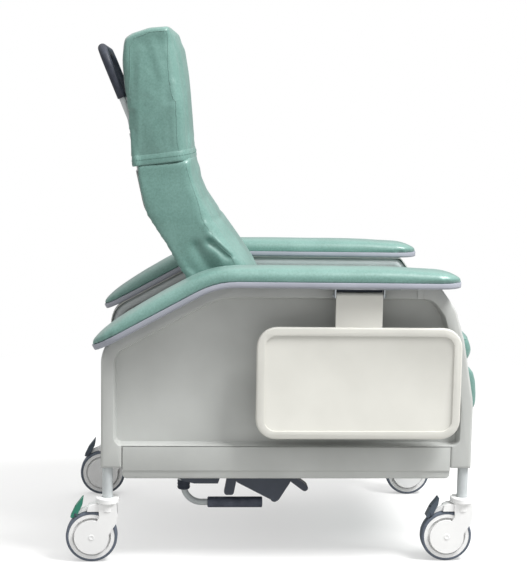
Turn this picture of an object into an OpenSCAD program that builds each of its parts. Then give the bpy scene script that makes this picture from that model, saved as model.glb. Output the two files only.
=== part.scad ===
// Wheeled clinical recliner with padded arms, a fold-down tray at each side, a push bar and a leg rest.
// +Z is up, the seat faces -Y and X runs across. The origin is on the floor, midway between the axle lines.
// Right pieces, whose names end in r, lie at -X and are made as the left ones are, mirrored.

/* [Overall] */
// Clear width between the inner faces of the arms
seat_space = 556; // [540:2:640]
// Distance between the front and rear caster stems
wheelbase = 872; // [860:2:900]
// Height of the seam under the level part of the arm pads
arm_z = 700; // [690:2:720]
// Height of the top of the seat board
seat_z = 484; // [480:1:488]
// Height of the top of the head cushion
back_top = 1298; // [1280:2:1330]

/* [Casters] */
// Wheel diameter over the tyre
wheel_d = 125; // [121:1:126]
// Tyre width
tyre_w = 30; // [26:1:31]
// Radial thickness of the tyre
tyre_t = 7; // [5:0.5:9]
// Distance from stem to axle
trail = 38; // [36:1:40]
// Height of the caster from the floor to its cup's rim
caster_h = 160; // [159:1:166]
// Diameter of the caster's cup
cup_d = 58; // [54:1:62]
// Thickness of a fork cheek
cheek_t = 5; // [4:0.5:6]
// Diameter of the round end of a cheek, over the axle
cheek_d = 84; // [76:1:88]
// Diameter of the axle
axle_d = 12; // [10:1:14]
// Width of the brake pedal
pedal_w = 26; // [20:1:30]

/* [Frame] */
// Outer diameter of the leg tubes
leg_d = 26; // [24:1:28]
// Side of the square rails
rail = 25; // [24:1:26]
// Height of the underside of the lower side rails
low_rail_z = 250; // [246:1:254]
// Diameter of the cross tubes
cross_d = 24; // [20:1:24]

/* [Side panels] */
// Depth of the panel moulding across the chair
panel_d = 39; // [38:1:42]
// Wall thickness of the mouldings
panel_wall = 3; // [2.5:0.25:3.5]
// Depth of the panel's recessed field
recess_d = 27; // [24:1:28]
// Width of the raised border over the tubes
border_w = 31; // [31:0.5:36]
// Height of the underside of the leg covers
cover_z = 235; // [225:1:240]
// Height of the joint between panel and skirt
ridge_z = 288; // [284:1:292]
// Height of the skirt's lower edge
skirt_z = 209; // [200:1:215]

/* [Arms] */
// Arm width
arm_w = 111; // [100:1:116]
// Thickness of the arm base
base_t = 14; // [12:1:16]
// Thickness of the arm pad
pad_t = 32; // [24:1:38]
// Slope of the arm behind its knee, in degrees
arm_drop = 28.7; // [27:0.1:30]

/* [Trays] */
// Tray length along the chair
tray_l = 494; // [420:2:500]
// Height of the tray, hanging, below its tongue
tray_h = 272; // [220:2:280]
// Tray thickness
tray_t = 14; // [12:1:16]
// Width of the tongue that hinges the tray
tongue_w = 112; // [80:2:130]
// Height of the tongue
tongue_h = 76; // [72:1:90]

/* [Cushions] */
// Gap between the cushions and each arm
cushion_gap = 16; // [13:1:20]
// Height of the seat cushion at its edge
seat_t = 78; // [64:1:80]
// Crown of the seat cushion
seat_crown = 14; // [6:1:18]
// Thickness of the leg rest pads
leg_pad_t = 36; // [30:1:38]

/* [Underside] */
// Diameter of the foot pedal's grip
grip_d = 27; // [22:1:28]
// Length of the foot pedal's grip
grip_l = 138; // [120:1:150]

/* [Hidden] */

// Colours
panel_grey = [0.70, 0.71, 0.70];
arm_grey = [0.62, 0.63, 0.67];
tube_grey = [0.72, 0.75, 0.76];
caster_white = [0.93, 0.93, 0.92];
tray_white = [0.88, 0.88, 0.85];
vinyl_green = [0.50, 0.65, 0.60];
pedal_green = [0.25, 0.56, 0.47];
dark_blue = [0.24, 0.27, 0.33];
foam_black = [0.12, 0.12, 0.13];
steel = [0.66, 0.68, 0.70];
board_tan = [0.72, 0.58, 0.40];

// Radial clearance of a running pin, gap between pieces that only meet, and overrun of a cut
fit = 0.05;
gap = 0.3;
over = 1;
// Gap between faces that pass each other
pass = 0.5;
// A bend is made this much slimmer than the straight runs, which lap over its ends
bend_slim = 0.04;
bend_lap = 0.5;
// Radii of small rounded edges
small_r = 1;
soft_r = 2;
lip_r = 3;
plate_r = 10;
// Largest turn between two points of a rounded corner, in degrees, and the same for radii over wide_r
arc_step = 15;
wide_step = 6;
wide_r = 50;
// Least radius kept where an inset eats a rounded corner
sharp = 0.5;
// Facets of a full circle
$fn = 48;

// Places across the chair, for the left side
arm_in = seat_space / 2;
cushion_w = seat_space - 2 * cushion_gap;
leg_in = 23;
leg_x = arm_in + leg_in;
panel_in = 5;
panel_x0 = arm_in + panel_in;
panel_x1 = panel_x0 + panel_d;
rail_x1 = leg_x + rail / 2;
rail_x0 = leg_x - rail / 2;

// Places along the chair
stem_r_y = wheelbase / 2 - trail;
stem_f_y = -wheelbase / 2 - trail;
wheel_r = wheel_d / 2;
leg_r = leg_d / 2;
panel_rear_y = stem_r_y + leg_r + gap + panel_wall;
panel_front_y = stem_f_y - leg_r - gap - panel_wall;

// Vectors and rounded outlines. An outline is a list of [y, z, radius], counterclockwise seen from +X.
full_turn = 360;
half_turn = 180;
function unit(v) = v / norm(v);
function flat(p) = [p[0], p[1]];
function corner(a, b, c, r) =
    r <= 0 ? [b] :
    let (
        u = unit(a - b),
        v = unit(c - b),
        half = acos(max(-1, min(1, u * v))) / 2,
        o = b + unit(u + v) * r / sin(half),
        s = b + u * r / tan(half) - o,
        t = b + v * r / tan(half) - o,
        start = atan2(s.y, s.x),
        turn = (atan2(t.y, t.x) - start + full_turn + half_turn) % full_turn - half_turn,
        steps = max(1, ceil(abs(turn) / (r > wide_r ? wide_step : arc_step) - 0.01))
    )
    [for (i = [0:steps]) o + r * [cos(start + turn * i / steps), sin(start + turn * i / steps)]];
function rounded(pts) =
    let (n = len(pts))
    [for (i = [0:n - 1]) each corner(flat(pts[(i + n - 1) % n]), flat(pts[i]), flat(pts[(i + 1) % n]), pts[i][2])];
function inset(pts, d) =
    let (n = len(pts))
    [for (i = [0:n - 1])
        let (
            b = flat(pts[i]),
            e = unit(b - flat(pts[(i + n - 1) % n])),
            f = unit(flat(pts[(i + 1) % n]) - b),
            m = [-e.y, e.x],
            k = [-f.y, f.x],
            q = b + (m + k) * d / (1 + m * k),
            r = pts[i][2]
        )
        [q.x, q.y, r == 0 ? 0 : max(sharp, e.x * f.y > e.y * f.x ? r - d : r + d)]];
function back_to_front(list) = [for (i = [len(list) - 1:-1:0]) list[i]];
function lift(x, pts) = [for (p = pts) [x, p[0], p[1]]];

// A closed solid through loops of equally many points
module loft(loops) {
    n = len(loops[0]);
    m = len(loops);
    polyhedron(
        points = [for (l = loops) each l],
        faces = concat(
            [[for (i = [0:n - 1]) i]],
            [[for (i = [n - 1:-1:0]) (m - 1) * n + i]],
            [for (j = [0:m - 2], i = [0:n - 1])
                each [[j * n + i, (j + 1) * n + i, (j + 1) * n + (i + 1) % n],
                      [j * n + i, (j + 1) * n + (i + 1) % n, j * n + (i + 1) % n]]]
        ),
        convexity = 8
    );
}
// A flat outline in Y and Z, given thickness from x0 to x1
module plate(x0, x1) {
    translate([x0, 0, 0]) rotate([90, 0, 90]) linear_extrude(x1 - x0) children();
}
// A flat outline in X and Z, run from y0 to y1
module beam(y0, y1) {
    translate([0, y1, 0]) rotate([90, 0, 0]) linear_extrude(y1 - y0) children();
}
// A box between two corners
module block(a, b) {
    translate(a) cube(b - a);
}
// A bar across the chair
module cross_bar(x0, x1, y, z, r) {
    translate([x0, y, z]) rotate([0, 90, 0]) cylinder(h = x1 - x0, r = r);
}
module left() {
    children();
}
module right() {
    mirror([1, 0, 0]) children();
}
module both_sides() {
    left() children();
    right() children();
}
// A straight run of round bar between two points
module run(a, b, r) {
    d = b - a;
    translate(a) rotate([0, acos(d.z / norm(d)), atan2(d.y, d.x)]) cylinder(h = norm(d), r = r);
}
// A round bar along a path, bent at each corner. A corner is [x, y, z, bend radius].
module pipe(path, r) {
    n = len(path);
    spots = [for (p = path) [p[0], p[1], p[2]]];
    halves = [for (i = [0:n - 1])
        i == 0 || i == n - 1 ? 90 :
        acos(unit(spots[i - 1] - spots[i]) * unit(spots[i + 1] - spots[i])) / 2];
    trims = [for (i = [0:n - 1]) i == 0 || i == n - 1 ? 0 : path[i][3] / tan(halves[i])];
    for (i = [0:n - 2]) {
        d = unit(spots[i + 1] - spots[i]);
        run(spots[i] + d * (trims[i] - (i == 0 ? 0 : bend_lap)),
            spots[i + 1] - d * (trims[i + 1] - (i == n - 2 ? 0 : bend_lap)), r);
    }
    for (i = [1:n - 2]) {
        u = unit(spots[i - 1] - spots[i]);
        v = unit(spots[i + 1] - spots[i]);
        o = spots[i] + unit(u + v) * path[i][3] / sin(halves[i]);
        ex = unit(spots[i] + u * trims[i] - o);
        ez = unit(cross(ex, unit(spots[i] + v * trims[i] - o)));
        ey = cross(ez, ex);
        multmatrix([[ex.x, ey.x, ez.x, o.x], [ex.y, ey.y, ez.y, o.y], [ex.z, ey.z, ez.z, o.z]])
            rotate_extrude(angle = half_turn - 2 * halves[i]) translate([path[i][3], 0]) circle(r = r - bend_slim);
    }
}

// Arm line: level, then a knee, then a straight slope to the rear
arm_front_off = 28;
arm_rear_off = 37;
arm_front_y = stem_f_y + arm_front_off;
arm_rear_y = stem_r_y + arm_rear_off;
knee_off = 255;
knee_y = stem_r_y - knee_off;
knee_r = 200;
knee_y0 = knee_y - knee_r * tan(arm_drop / 2);
knee_y1 = knee_y0 + knee_r * sin(arm_drop);
function arm_slope(y) = y <= knee_y0 ? 0 : y >= knee_y1 ? arm_drop : asin((y - knee_y0) / knee_r);
function arm_line(y) =
    y <= knee_y0 ? arm_z :
    y >= knee_y1 ? arm_z - (y - knee_y) * tan(arm_drop) :
    arm_z - knee_r + sqrt(knee_r * knee_r - (y - knee_y0) * (y - knee_y0));
function arm_point(y, off) = [y + off * sin(arm_slope(y)), arm_line(y) + off * cos(arm_slope(y))];
knee_steps = 5;
knee_ys = [for (i = [0:knee_steps]) knee_y0 + knee_r * sin(arm_drop * i / knee_steps)];

// Panel outlines
front_lean = 92;
panel_rear_r = 70;
cover_w = 52;
cover_r = 4;
seam_f_y = panel_front_y + cover_w;
seam_r_y = panel_rear_y - cover_w;
panel_top_z = arm_z - base_t;
panel_h = panel_top_z - cover_z;
// Front edge below its top corner, as shares of its lean, of the panel's height and, for the radius, of its lean
front_edge_shares = [[0.543, 0.871, 0.65], [0.293, 0.703, 1.3], [0, 0.366, 1.6]];
front_edge = [for (s = front_edge_shares)
    [panel_front_y + front_lean * s[0], cover_z + panel_h * s[1], front_lean * s[2]]];
front_corner_r = 16;
slope_end = arm_point(arm_rear_y, -base_t);
rear_corner = [panel_rear_y, slope_end.y + (slope_end.x - panel_rear_y) * tan(arm_drop), panel_rear_r];
knee_edge = [for (y = back_to_front(knee_ys)) let (p = arm_point(y, -base_t)) [p.x, p.y, 0]];
function arch(r) =
    concat([rear_corner], knee_edge, [[panel_front_y + front_lean, panel_top_z, r]], front_edge);
function arch_from(z, foot_r, top_r) =
    concat([[panel_front_y, z, foot_r], [panel_rear_y, z, foot_r]], arch(top_r));
outline = concat(
    [[panel_front_y, cover_z, cover_r], [seam_f_y, cover_z, cover_r], [seam_f_y, ridge_z, 0],
     [seam_r_y, ridge_z, 0], [seam_r_y, cover_z, cover_r], [panel_rear_y, cover_z, cover_r]],
    arch(front_corner_r)
);
shield = arch_from(ridge_z, 0, front_corner_r);
function leg_cover(y0, y1) =
    [[y0, cover_z, cover_r], [y1, cover_z, cover_r], [y1, ridge_z + border_w, 0], [y0, ridge_z + border_w, 0]];
ledge = 2;
field_r = 22;
field_top_r = 45;
field = arch_from(ridge_z + ledge - border_w, field_r + border_w, field_top_r + border_w);

// Tubes of the side frame. Each side is a hoop of two bent legs and a rail, under the panel's border.
tube_in = panel_wall + gap + leg_r;
tube_w = panel_wall + 2 * gap + leg_d;
hoop = inset(arch_from(caster_h, 0, front_corner_r), tube_in);
hoop_bend = 30;
deep_r = tube_w + hoop_bend - leg_r - gap;
deep = arch_from(cover_z - front_lean, 0, deep_r);
rear_bend = panel_rear_r - tube_in;
rail_front_y = -360;
function hoop_point(i) = [leg_x, hoop[i][0], hoop[i][1], hoop_bend];
leg_seat = 6;
leg_z = caster_h - leg_seat + gap;
stem_socket_r = 8;
stem_socket_h = 40;
rail_bend = knee_r - base_t - tube_in;
rail_z = panel_top_z - tube_in;
knee_rail = [leg_x, knee_y - (base_t + tube_in) * tan(arm_drop / 2), rail_z, rail_bend];
rear_top = hoop_point(2);
rail_way = unit([rear_top.x, rear_top.y, rear_top.z] - [knee_rail.x, knee_rail.y, knee_rail.z]);
rear_joint_off = 75;
rear_joint = [rear_top.x, rear_top.y, rear_top.z] - rail_way * rear_joint_off;
module leg_foot(y) {
    translate([leg_x, y, leg_z - over]) cylinder(h = stem_socket_h + over, r = stem_socket_r);
}
module front_leg() {
    n = len(hoop);
    color(tube_grey) difference() {
        pipe([
            [leg_x, stem_f_y, leg_z],
            [leg_x, stem_f_y, hoop[n - 1][1], hoop[n - 1][2]],
            [leg_x, hoop[n - 2][0], hoop[n - 2][1], hoop[n - 2][2]],
            [leg_x, hoop[n - 3][0], hoop[n - 3][1], hoop[n - 3][2]],
            [leg_x, hoop[n - 4][0], hoop[n - 4][1], hoop_bend],
            [leg_x, rail_front_y, rail_z]
        ], leg_r);
        leg_foot(stem_f_y);
    }
}
module rear_leg() {
    color(tube_grey) difference() {
        pipe([
            [leg_x, stem_r_y, leg_z],
            [leg_x, stem_r_y, rear_top.z, rear_bend],
            rear_joint
        ], leg_r);
        leg_foot(stem_r_y);
    }
}
module arm_rail() {
    color(tube_grey) pipe([
        [leg_x, rail_front_y + gap, rail_z],
        knee_rail,
        rear_joint - rail_way * gap
    ], leg_r);
}
module lower_rail() {
    color(tube_grey) difference() {
        block([rail_x0, stem_f_y, low_rail_z], [rail_x1, stem_r_y, low_rail_z + rail]);
        for (y = [stem_f_y, stem_r_y])
            translate([leg_x, y, low_rail_z - over]) cylinder(h = rail + 2 * over, r = leg_r + gap / 2);
    }
}

// Cross tubes of the base: one at the rear, two that carry the foot pedal and the strut
cross_z = low_rail_z + rail / 2;
cross_r = cross_d / 2;
saddle_r = cross_r + gap / 2;
mid_tube_y = 120;
fore_tube_y = -40;
cross_ys = [mid_tube_y, fore_tube_y];
rear_tube_y = stem_r_y - leg_r - cross_r - panel_wall;
module cross_tubes() {
    color(tube_grey) for (y = concat(cross_ys, [rear_tube_y]))
        cross_bar(-rail_x0 + gap / 2, rail_x0 - gap / 2, y, cross_z, cross_r);
}

// Side panel: a moulded shell with a rounded outer edge, a raised border over the tubes and a sunk field
edge_r = 8;
// Rounded edge, as shares of its radius: how far below the face, and how far in from the outline
edge_round_shares = [[1, 0], [0.45, 0.13], [0.13, 0.43], [0, 0.9]];
// Wall of the field, as shares: of the recess depth below the face, and of the field's draft
field_wall_shares = [[1, 1], [0.85, 0.8], [0.5, 0.55], [0.12, 0.2], [0, -0.15]];
draft = 6;
field_x = panel_x1 - recess_d;
boss_y = -350;
boss_w = 17;
boss_t = 4;
module side_panel() {
    face = panel_x1 - panel_wall;
    back = field_x - panel_wall;
    color(panel_grey) difference() {
        union() {
            for (shape = [shield, leg_cover(panel_front_y, seam_f_y), leg_cover(seam_r_y, panel_rear_y)])
                loft(concat(
                    [lift(panel_x0, rounded(shape))],
                    [for (s = edge_round_shares) lift(panel_x1 - edge_r * s[0], rounded(inset(shape, edge_r * s[1])))]
                ));
            loft([for (x = [face, panel_x1 + boss_t])
                let (w = x == face ? boss_w / 2 : boss_w / 2 - boss_t / 2)
                lift(x, [[boss_y - w, panel_top_z - border_w], [boss_y + w, panel_top_z - border_w],
                         [boss_y + w, panel_top_z - over], [boss_y - w, panel_top_z - over]])]);
        }
        loft(concat(
            [for (s = field_wall_shares)
                lift(panel_x1 - recess_d * s[0], rounded(inset(field, border_w + draft * s[1])))],
            [lift(panel_x1 + over, rounded(inset(field, border_w - draft / 2)))]
        ));
        plate(panel_x0 - over, face) difference() {
            polygon(rounded(inset(outline, panel_wall)));
            polygon(rounded(inset(deep, tube_w)));
        }
        plate(panel_x0 - over, back) polygon(rounded(inset(field, border_w + draft + panel_wall)));
        block([panel_x0 - over, seam_f_y + panel_wall, ridge_z - over],
              [back, seam_r_y - panel_wall, ridge_z + border_w / 2]);
        block([panel_x0 - over, seam_f_y - cover_w / 2, low_rail_z - gap],
              [rail_x1 + gap, seam_r_y + cover_w / 2, low_rail_z + rail + gap]);
        for (y = [stem_f_y, stem_r_y])
            translate([leg_x, y, cover_z - over]) cylinder(h = rail, r = leg_r + gap);
    }
}

// Skirt under the panel: an open channel over the lower rail, with a stepped lip and rounded lower corners
skirt_in = 24;
skirt_lip = 18;
skirt_step = 3;
skirt_r = 12;
skirt_x = panel_x1 - over;
module skirt() {
    x0 = skirt_x - skirt_in;
    lip_x = skirt_x - skirt_step;
    t = panel_wall;
    top = ridge_z;
    y0 = seam_f_y + pass;
    y1 = seam_r_y - pass;
    body = [[x0, skirt_z, 0], [lip_x, skirt_z, t], [lip_x, skirt_z + skirt_lip, 0],
            [skirt_x, skirt_z + skirt_lip + skirt_step, 0], [skirt_x, top, 0], [x0, top, 0]];
    hollow = [[x0 - over, skirt_z + t, 0], [lip_x - t, skirt_z + t, 0],
              [lip_x - t, skirt_z + skirt_lip + over, 0],
              [skirt_x - t, skirt_z + skirt_lip + skirt_step + over, 0],
              [skirt_x - t, top - t, 0], [x0 - over, top - t, 0]];
    color(panel_grey) difference() {
        intersection() {
            beam(y0, y1) polygon(rounded(body));
            plate(x0 - over, skirt_x + over)
                polygon(rounded([[y0, skirt_z, skirt_r], [y1, skirt_z, skirt_r], [y1, top, 0], [y0, top, 0]]));
        }
        block([x0 - over, y0 - over, low_rail_z - gap], [rail_x1 + gap, y1 + over, low_rail_z + rail + gap]);
        difference() {
            beam(y0 + t, y1 - t) polygon(rounded(hollow));
            for (y = [y0, y1]) {
                s = y == y0 ? 1 : -1;
                plate(x0 - over, skirt_x)
                    polygon([[y, skirt_z], [y + s * (skirt_r + t), skirt_z],
                             [y + s * t, skirt_z + skirt_r + t], [y, skirt_z + skirt_r + t]]);
            }
        }
    }
}

// Arms: a moulded base that follows the arm line, and a crowned pad on it
arm_x = arm_in + arm_w / 2;
taper_l = 190;
plan_l = 62;
base_lip = 1.5;
base_edge = 4;
// Distances from the tip of the arm, as shares of the length over which the pad thins
tip_shares = [0.002, 0.018, 0.05, 0.105, 0.19, 0.31, 0.48, 0.7, 1];
arm_ys = concat(
    [for (s = tip_shares) arm_front_y + taper_l * s],
    knee_ys,
    [for (s = back_to_front(tip_shares)) arm_rear_y - taper_l * s]
);
function tip_run(y) = min(y - arm_front_y, arm_rear_y - y);
function tip_round(d, l) = let (u = 1 - min(1, d / l)) sqrt(1 - u * u);
function bulge(c, p) = sign(c) * pow(abs(c), p);
function arm_loop(y, flat_pts) = [for (p = flat_pts) let (q = arm_point(y, p[1])) [arm_x + p[0], q.x, q.y]];
module arm_base() {
    color(arm_grey) loft([for (y = arm_ys)
        let (w = arm_w / 2 * tip_round(tip_run(y), plan_l), c = min(base_edge, w / 2))
        arm_loop(y, [[w - c, -base_t], [c - w, -base_t], [-w, c - base_t], [-w, 0], [w, 0], [w, c - base_t]])]);
}
pad_side = 0.5;
pad_rise = 0.7;
pad_step = 15;
module arm_pad() {
    color(vinyl_green) loft([for (y = arm_ys)
        let (
            w = (arm_w / 2 - base_lip) * tip_round(tip_run(y), plan_l),
            h = pad_t * tip_round(tip_run(y), taper_l)
        )
        arm_loop(y, [for (a = [half_turn:-pad_step:0]) [w * bulge(cos(a), pad_side), h * bulge(sin(a), pad_rise)]])]);
}

// Tray, hanging from its pin under the arm, and the bracket that holds the pin
pin_out = 77;
pin_x = arm_in + pin_out;
pin_drop = 20;
pin_z = panel_top_z - pin_drop;
pin_r = 4;
barrel_r = 6.8;
tray_y = -203;
tray_r = 48;
tray_edge = 5;
tongue_y = -199;
tongue_t = 10.5;
tongue_back = 4.5;
tongue_x = pin_x - tongue_back;
flare_r = 8;
rim_w = 20;
rim_d = 4;
tray_back = 3;
tray_x0 = pin_x - tray_back;
ear_t = 3;
ear_gap = 1;
module tray() {
    top = pin_z - tongue_h;
    shape = [[tray_y - tray_l / 2, top - tray_h, tray_r], [tray_y + tray_l / 2, top - tray_h, tray_r],
             [tray_y + tray_l / 2, top, tray_r], [tray_y - tray_l / 2, top, tray_r]];
    y0 = tongue_y - tongue_w / 2;
    y1 = tongue_y + tongue_w / 2;
    flare_z = top - tray_edge;
    web = [[y0 - flare_r, flare_z - rim_w / 2, 0], [y1 + flare_r, flare_z - rim_w / 2, 0], [y1 + flare_r, flare_z, 0],
           [y1, flare_z, flare_r], [y1, pin_z, 0], [y0, pin_z, 0], [y0, flare_z, flare_r],
           [y0 - flare_r, flare_z, 0]];
    color(tray_white) difference() {
        union() {
            loft(concat(
                [for (s = back_to_front(edge_round_shares))
                    lift(tray_x0 + tray_edge * s[0], rounded(inset(shape, tray_edge * s[1])))],
                [for (s = edge_round_shares)
                    lift(tray_x0 + tray_t - tray_edge * s[0], rounded(inset(shape, tray_edge * s[1])))]
            ));
            plate(tongue_x, tongue_x + tongue_t) polygon(rounded(web));
            translate([pin_x, y1, pin_z]) rotate([90, 0, 0]) cylinder(h = tongue_w, r = barrel_r);
        }
        plate(tray_x0 + tray_t - rim_d, tray_x0 + tray_t + over) polygon(rounded(inset(shape, rim_w)));
        translate([pin_x, y1 + over, pin_z]) rotate([90, 0, 0]) cylinder(h = tongue_w + 2 * over, r = pin_r + fit);
    }
}
bracket_w = 44;
bracket_l = 190;
ear_w = 26;
module tray_bracket() {
    y0 = tongue_y - tongue_w / 2 - ear_gap - ear_t;
    y1 = tongue_y + tongue_w / 2 + ear_gap + ear_t;
    color(steel) {
        block([pin_x - bracket_w / 2, tongue_y - bracket_l / 2, panel_top_z - ear_t],
              [pin_x + bracket_w / 2, tongue_y + bracket_l / 2, panel_top_z]);
        for (y = [y0, y1 - ear_t])
            beam(y, y + ear_t) polygon(rounded([
                [pin_x - ear_w / 2, panel_top_z - ear_t - over, 0], [pin_x - ear_w / 4, pin_z - barrel_r, pin_r],
                [pin_x + ear_w / 4, pin_z - barrel_r, pin_r], [pin_x + ear_w / 2, panel_top_z - ear_t - over, 0],
                [pin_x + ear_w / 2, panel_top_z - over, 0], [pin_x - ear_w / 2, panel_top_z - over, 0]]));
        translate([pin_x, y1, pin_z]) rotate([90, 0, 0]) cylinder(h = y1 - y0, r = pin_r);
    }
}

// Casters. Each is drawn with its stem on the Z axis and its wheel trailing to the rear.
cup_h = 14;
neck_r = 23;
stem_r = 5.5;
wheel_gap = 1;
axle_r = axle_d / 2;
cheek_x = tyre_w / 2 + wheel_gap;
neck_z0 = wheel_d + wheel_gap;
fork_top = caster_h - cup_h;
fork_h = fork_top - wheel_r;
// Outline of a fork arm, as shares of the trail and of the height from axle to cup, with radii as shares of trail
fork_arm_shares = [
    [-0.58, 1, 0], [-0.66, 0.66, 0.3], [-0.6, 0.44, 0.3], [-0.26, 0.2, 0.5], [0.06, -0.05, 0],
    [1, -0.2, 0], [1, 0.3, 0], [0.7, 0.46, 0], [0.52, 0.6, 0.2], [0.55, 1, 0]
];
fork_arm = [for (s = fork_arm_shares) [s[0] * trail, wheel_r + s[1] * fork_h, s[2] * trail]];
// Fender over the wheel, as shares of the trail and of the height between wheel and cup
fender_shares = [[0, 0, 0], [1.28, 0, 0], [1.22, 0.6, 0.1], [0.9, 0.86, 0.3], [0, 1, 0]];
fender = [for (s = fender_shares) [s[0] * trail, neck_z0 + s[1] * (fork_top - neck_z0), s[2] * trail]];
// Hinge of the brake pedal and the tongue that carries it, as shares of the wheel radius from the axle
pedal_pin_shares = [0.62, 0.89];
pedal_pin = [trail + pedal_pin_shares[0] * wheel_r, wheel_r + pedal_pin_shares[1] * wheel_r];
pedal_pin_r = 2;
pedal_eye_r = 4.5;
tongue_half = 6;
module wheel_bore(r) {
    translate([0, trail, wheel_r]) rotate([0, 90, 0]) cylinder(h = 2 * cup_d, r = r, center = true);
}
module caster_housing() {
    cup_r = cup_d / 2;
    reach = cheek_x + cheek_t;
    color(caster_white) difference() {
        union() {
            rotate_extrude() polygon(rounded([
                [0, neck_z0, 0], [neck_r, neck_z0, small_r], [neck_r, fork_top, 0], [cup_r, fork_top, soft_r],
                [cup_r, caster_h, lip_r], [leg_r + over, caster_h, small_r], [leg_r + over, caster_h - leg_seat, 0],
                [0, caster_h - leg_seat, 0]]));
            for (x = [-reach, cheek_x]) plate(x, x + cheek_t) {
                translate([trail, wheel_r]) circle(d = cheek_d);
                polygon(rounded(fork_arm));
            }
            plate(-cheek_x - over, cheek_x + over) polygon(rounded(fender));
            difference() {
                plate(-tongue_half, tongue_half) {
                    polygon([[trail, fork_top - cup_h], [trail, neck_z0], pedal_pin - [0, pedal_eye_r / 2],
                             pedal_pin + [pedal_eye_r, pedal_eye_r] * sqrt(1 / 2), [fender[2][0], fender[2][1]]]);
                    translate(pedal_pin) circle(r = pedal_eye_r);
                }
                wheel_bore(wheel_r + over);
            }
            plate(-pedal_w / 2, pedal_w / 2) translate(pedal_pin) circle(r = pedal_pin_r);
            translate([0, trail, wheel_r]) rotate([0, 90, 0]) cylinder(h = 2 * reach, r = axle_r, center = true);
        }
        translate([0, 0, neck_z0 - over]) cylinder(h = caster_h, r = stem_r + fit);
    }
}
hub_r = 14;
hub_out = 1;
web_x = 9;
web_in = 4;
rim_in = 0.5;
tyre_round = 4.5;
module rim() {
    r = wheel_r - tyre_t;
    x = tyre_w / 2 - rim_in;
    half = [[axle_r + fit, x + hub_out], [hub_r, x + hub_out], [hub_r + web_in, web_x], [r - 3 * web_in, web_x],
            [r - 2 * web_in, x], [r, x]];
    color(caster_white) translate([0, trail, wheel_r]) rotate([0, 90, 0]) rotate_extrude()
        polygon(concat(half, [for (p = back_to_front(half)) [p.x, -p.y]]));
}
module tyre() {
    r = wheel_r - tyre_t;
    x = tyre_w / 2;
    color(dark_blue) translate([0, trail, wheel_r]) rotate([0, 90, 0]) rotate_extrude() polygon(rounded([
        [r, small_r - x, 0], [r + small_r, -x, 0], [wheel_r, -x, tyre_round],
        [wheel_r, x, tyre_round], [r + small_r, x, 0], [r, x - small_r, 0]]));
}
// Leaf of the brake pedal, from its pin, as shares of the wheel radius, with radii as shares too
leaf_shares = [
    [-0.07, -0.02, 0.04], [0.15, -0.16, 0.05], [0.21, -0.1, 0.04], [0.02, 0.3, 0.5], [-0.3, 0.71, 0.02],
    [-0.26, 0.38, 0.2]
];
// Slot of the leaf around the housing's tongue: turns in degrees and reaches as shares of the wheel radius
slot_turns = [78, 120, 160, 200];
slot_shares = [0.3, 0.4, 0.4, 0.3];
module brake_pedal(paint) {
    leaf = [for (s = leaf_shares) [s[0] * wheel_r, s[1] * wheel_r, s[2] * wheel_r]];
    color(paint) difference() {
        plate(-pedal_w / 2, pedal_w / 2) translate(pedal_pin) {
            polygon(rounded(leaf));
            circle(r = pedal_eye_r);
        }
        plate(-tongue_half - gap, tongue_half + gap) translate(pedal_pin) {
            circle(r = pedal_eye_r + pass);
            polygon(concat([[0, 0]], [for (i = [0:len(slot_turns) - 1])
                wheel_r * slot_shares[i] * [cos(slot_turns[i]), sin(slot_turns[i])]]));
        }
        plate(-pedal_w, pedal_w) translate(pedal_pin) circle(r = pedal_pin_r + fit);
    }
}
module stem() {
    color(steel) {
        translate([0, 0, neck_z0 + over]) cylinder(h = leg_z - neck_z0, r = stem_r);
        translate([0, 0, leg_z + gap]) cylinder(h = stem_socket_h - over, r = stem_socket_r - fit);
    }
}
module at_caster(side, y) {
    translate([side * leg_x, y, 0]) children();
}
module caster_stems() {
    for (s = [-1, 1], y = [stem_r_y, stem_f_y]) at_caster(s, y) stem();
}

// Tilting seat: uprights with pins on the lower rails, and hollow seat rails with lugs that hang on the pins
tilt_y = -60;
tilt_z = 420;
tilt_pin_r = 8;
upright_t = 8;
upright_x = rail_x0 - gap - upright_t;
upright_foot = 150;
upright_head = 18;
lug_t = 12;
rail_play = 3;
board_t = 12;
seat_rail_x1 = arm_in - rail_play;
seat_rail_x0 = seat_rail_x1 - rail;
rail_z1 = seat_z - board_t;
rail_z0 = rail_z1 - rail;
rail_wall = 2.5;
lug_x0 = seat_rail_x1 - lug_t;
pin_reach = 3;
collar = 4;
module tilt_upright() {
    plate(upright_x, upright_x + upright_t) difference() {
        polygon(rounded([
            [tilt_y - upright_foot / 2, low_rail_z, 0], [tilt_y + upright_foot / 2, low_rail_z, 0],
            [tilt_y + upright_foot / 2, low_rail_z + rail, plate_r], [tilt_y + upright_head, tilt_z, plate_r],
            [tilt_y + upright_head, tilt_z + upright_head, plate_r],
            [tilt_y - upright_head, tilt_z + upright_head, plate_r], [tilt_y - upright_head, tilt_z, plate_r],
            [tilt_y - upright_foot / 2, low_rail_z + rail, plate_r]]));
        translate([fore_tube_y, cross_z]) circle(r = saddle_r);
    }
    cross_bar(lug_x0 - pin_reach, upright_x + over, tilt_y, tilt_z, tilt_pin_r);
    cross_bar(seat_rail_x1 + gap, upright_x + over, tilt_y, tilt_z, tilt_pin_r + collar);
}
module tilt_uprights() {
    color(tube_grey) both_sides() tilt_upright();
}
rail_rear_y = 175;
rail_front = -440;
hinge_y = 152;
hinge_z = 497;
hinge_pin_r = 8;
hinge_lug_r = 18;
back_tube_r = 11;
back_tube_x = seat_rail_x0 - back_tube_r - over;
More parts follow.
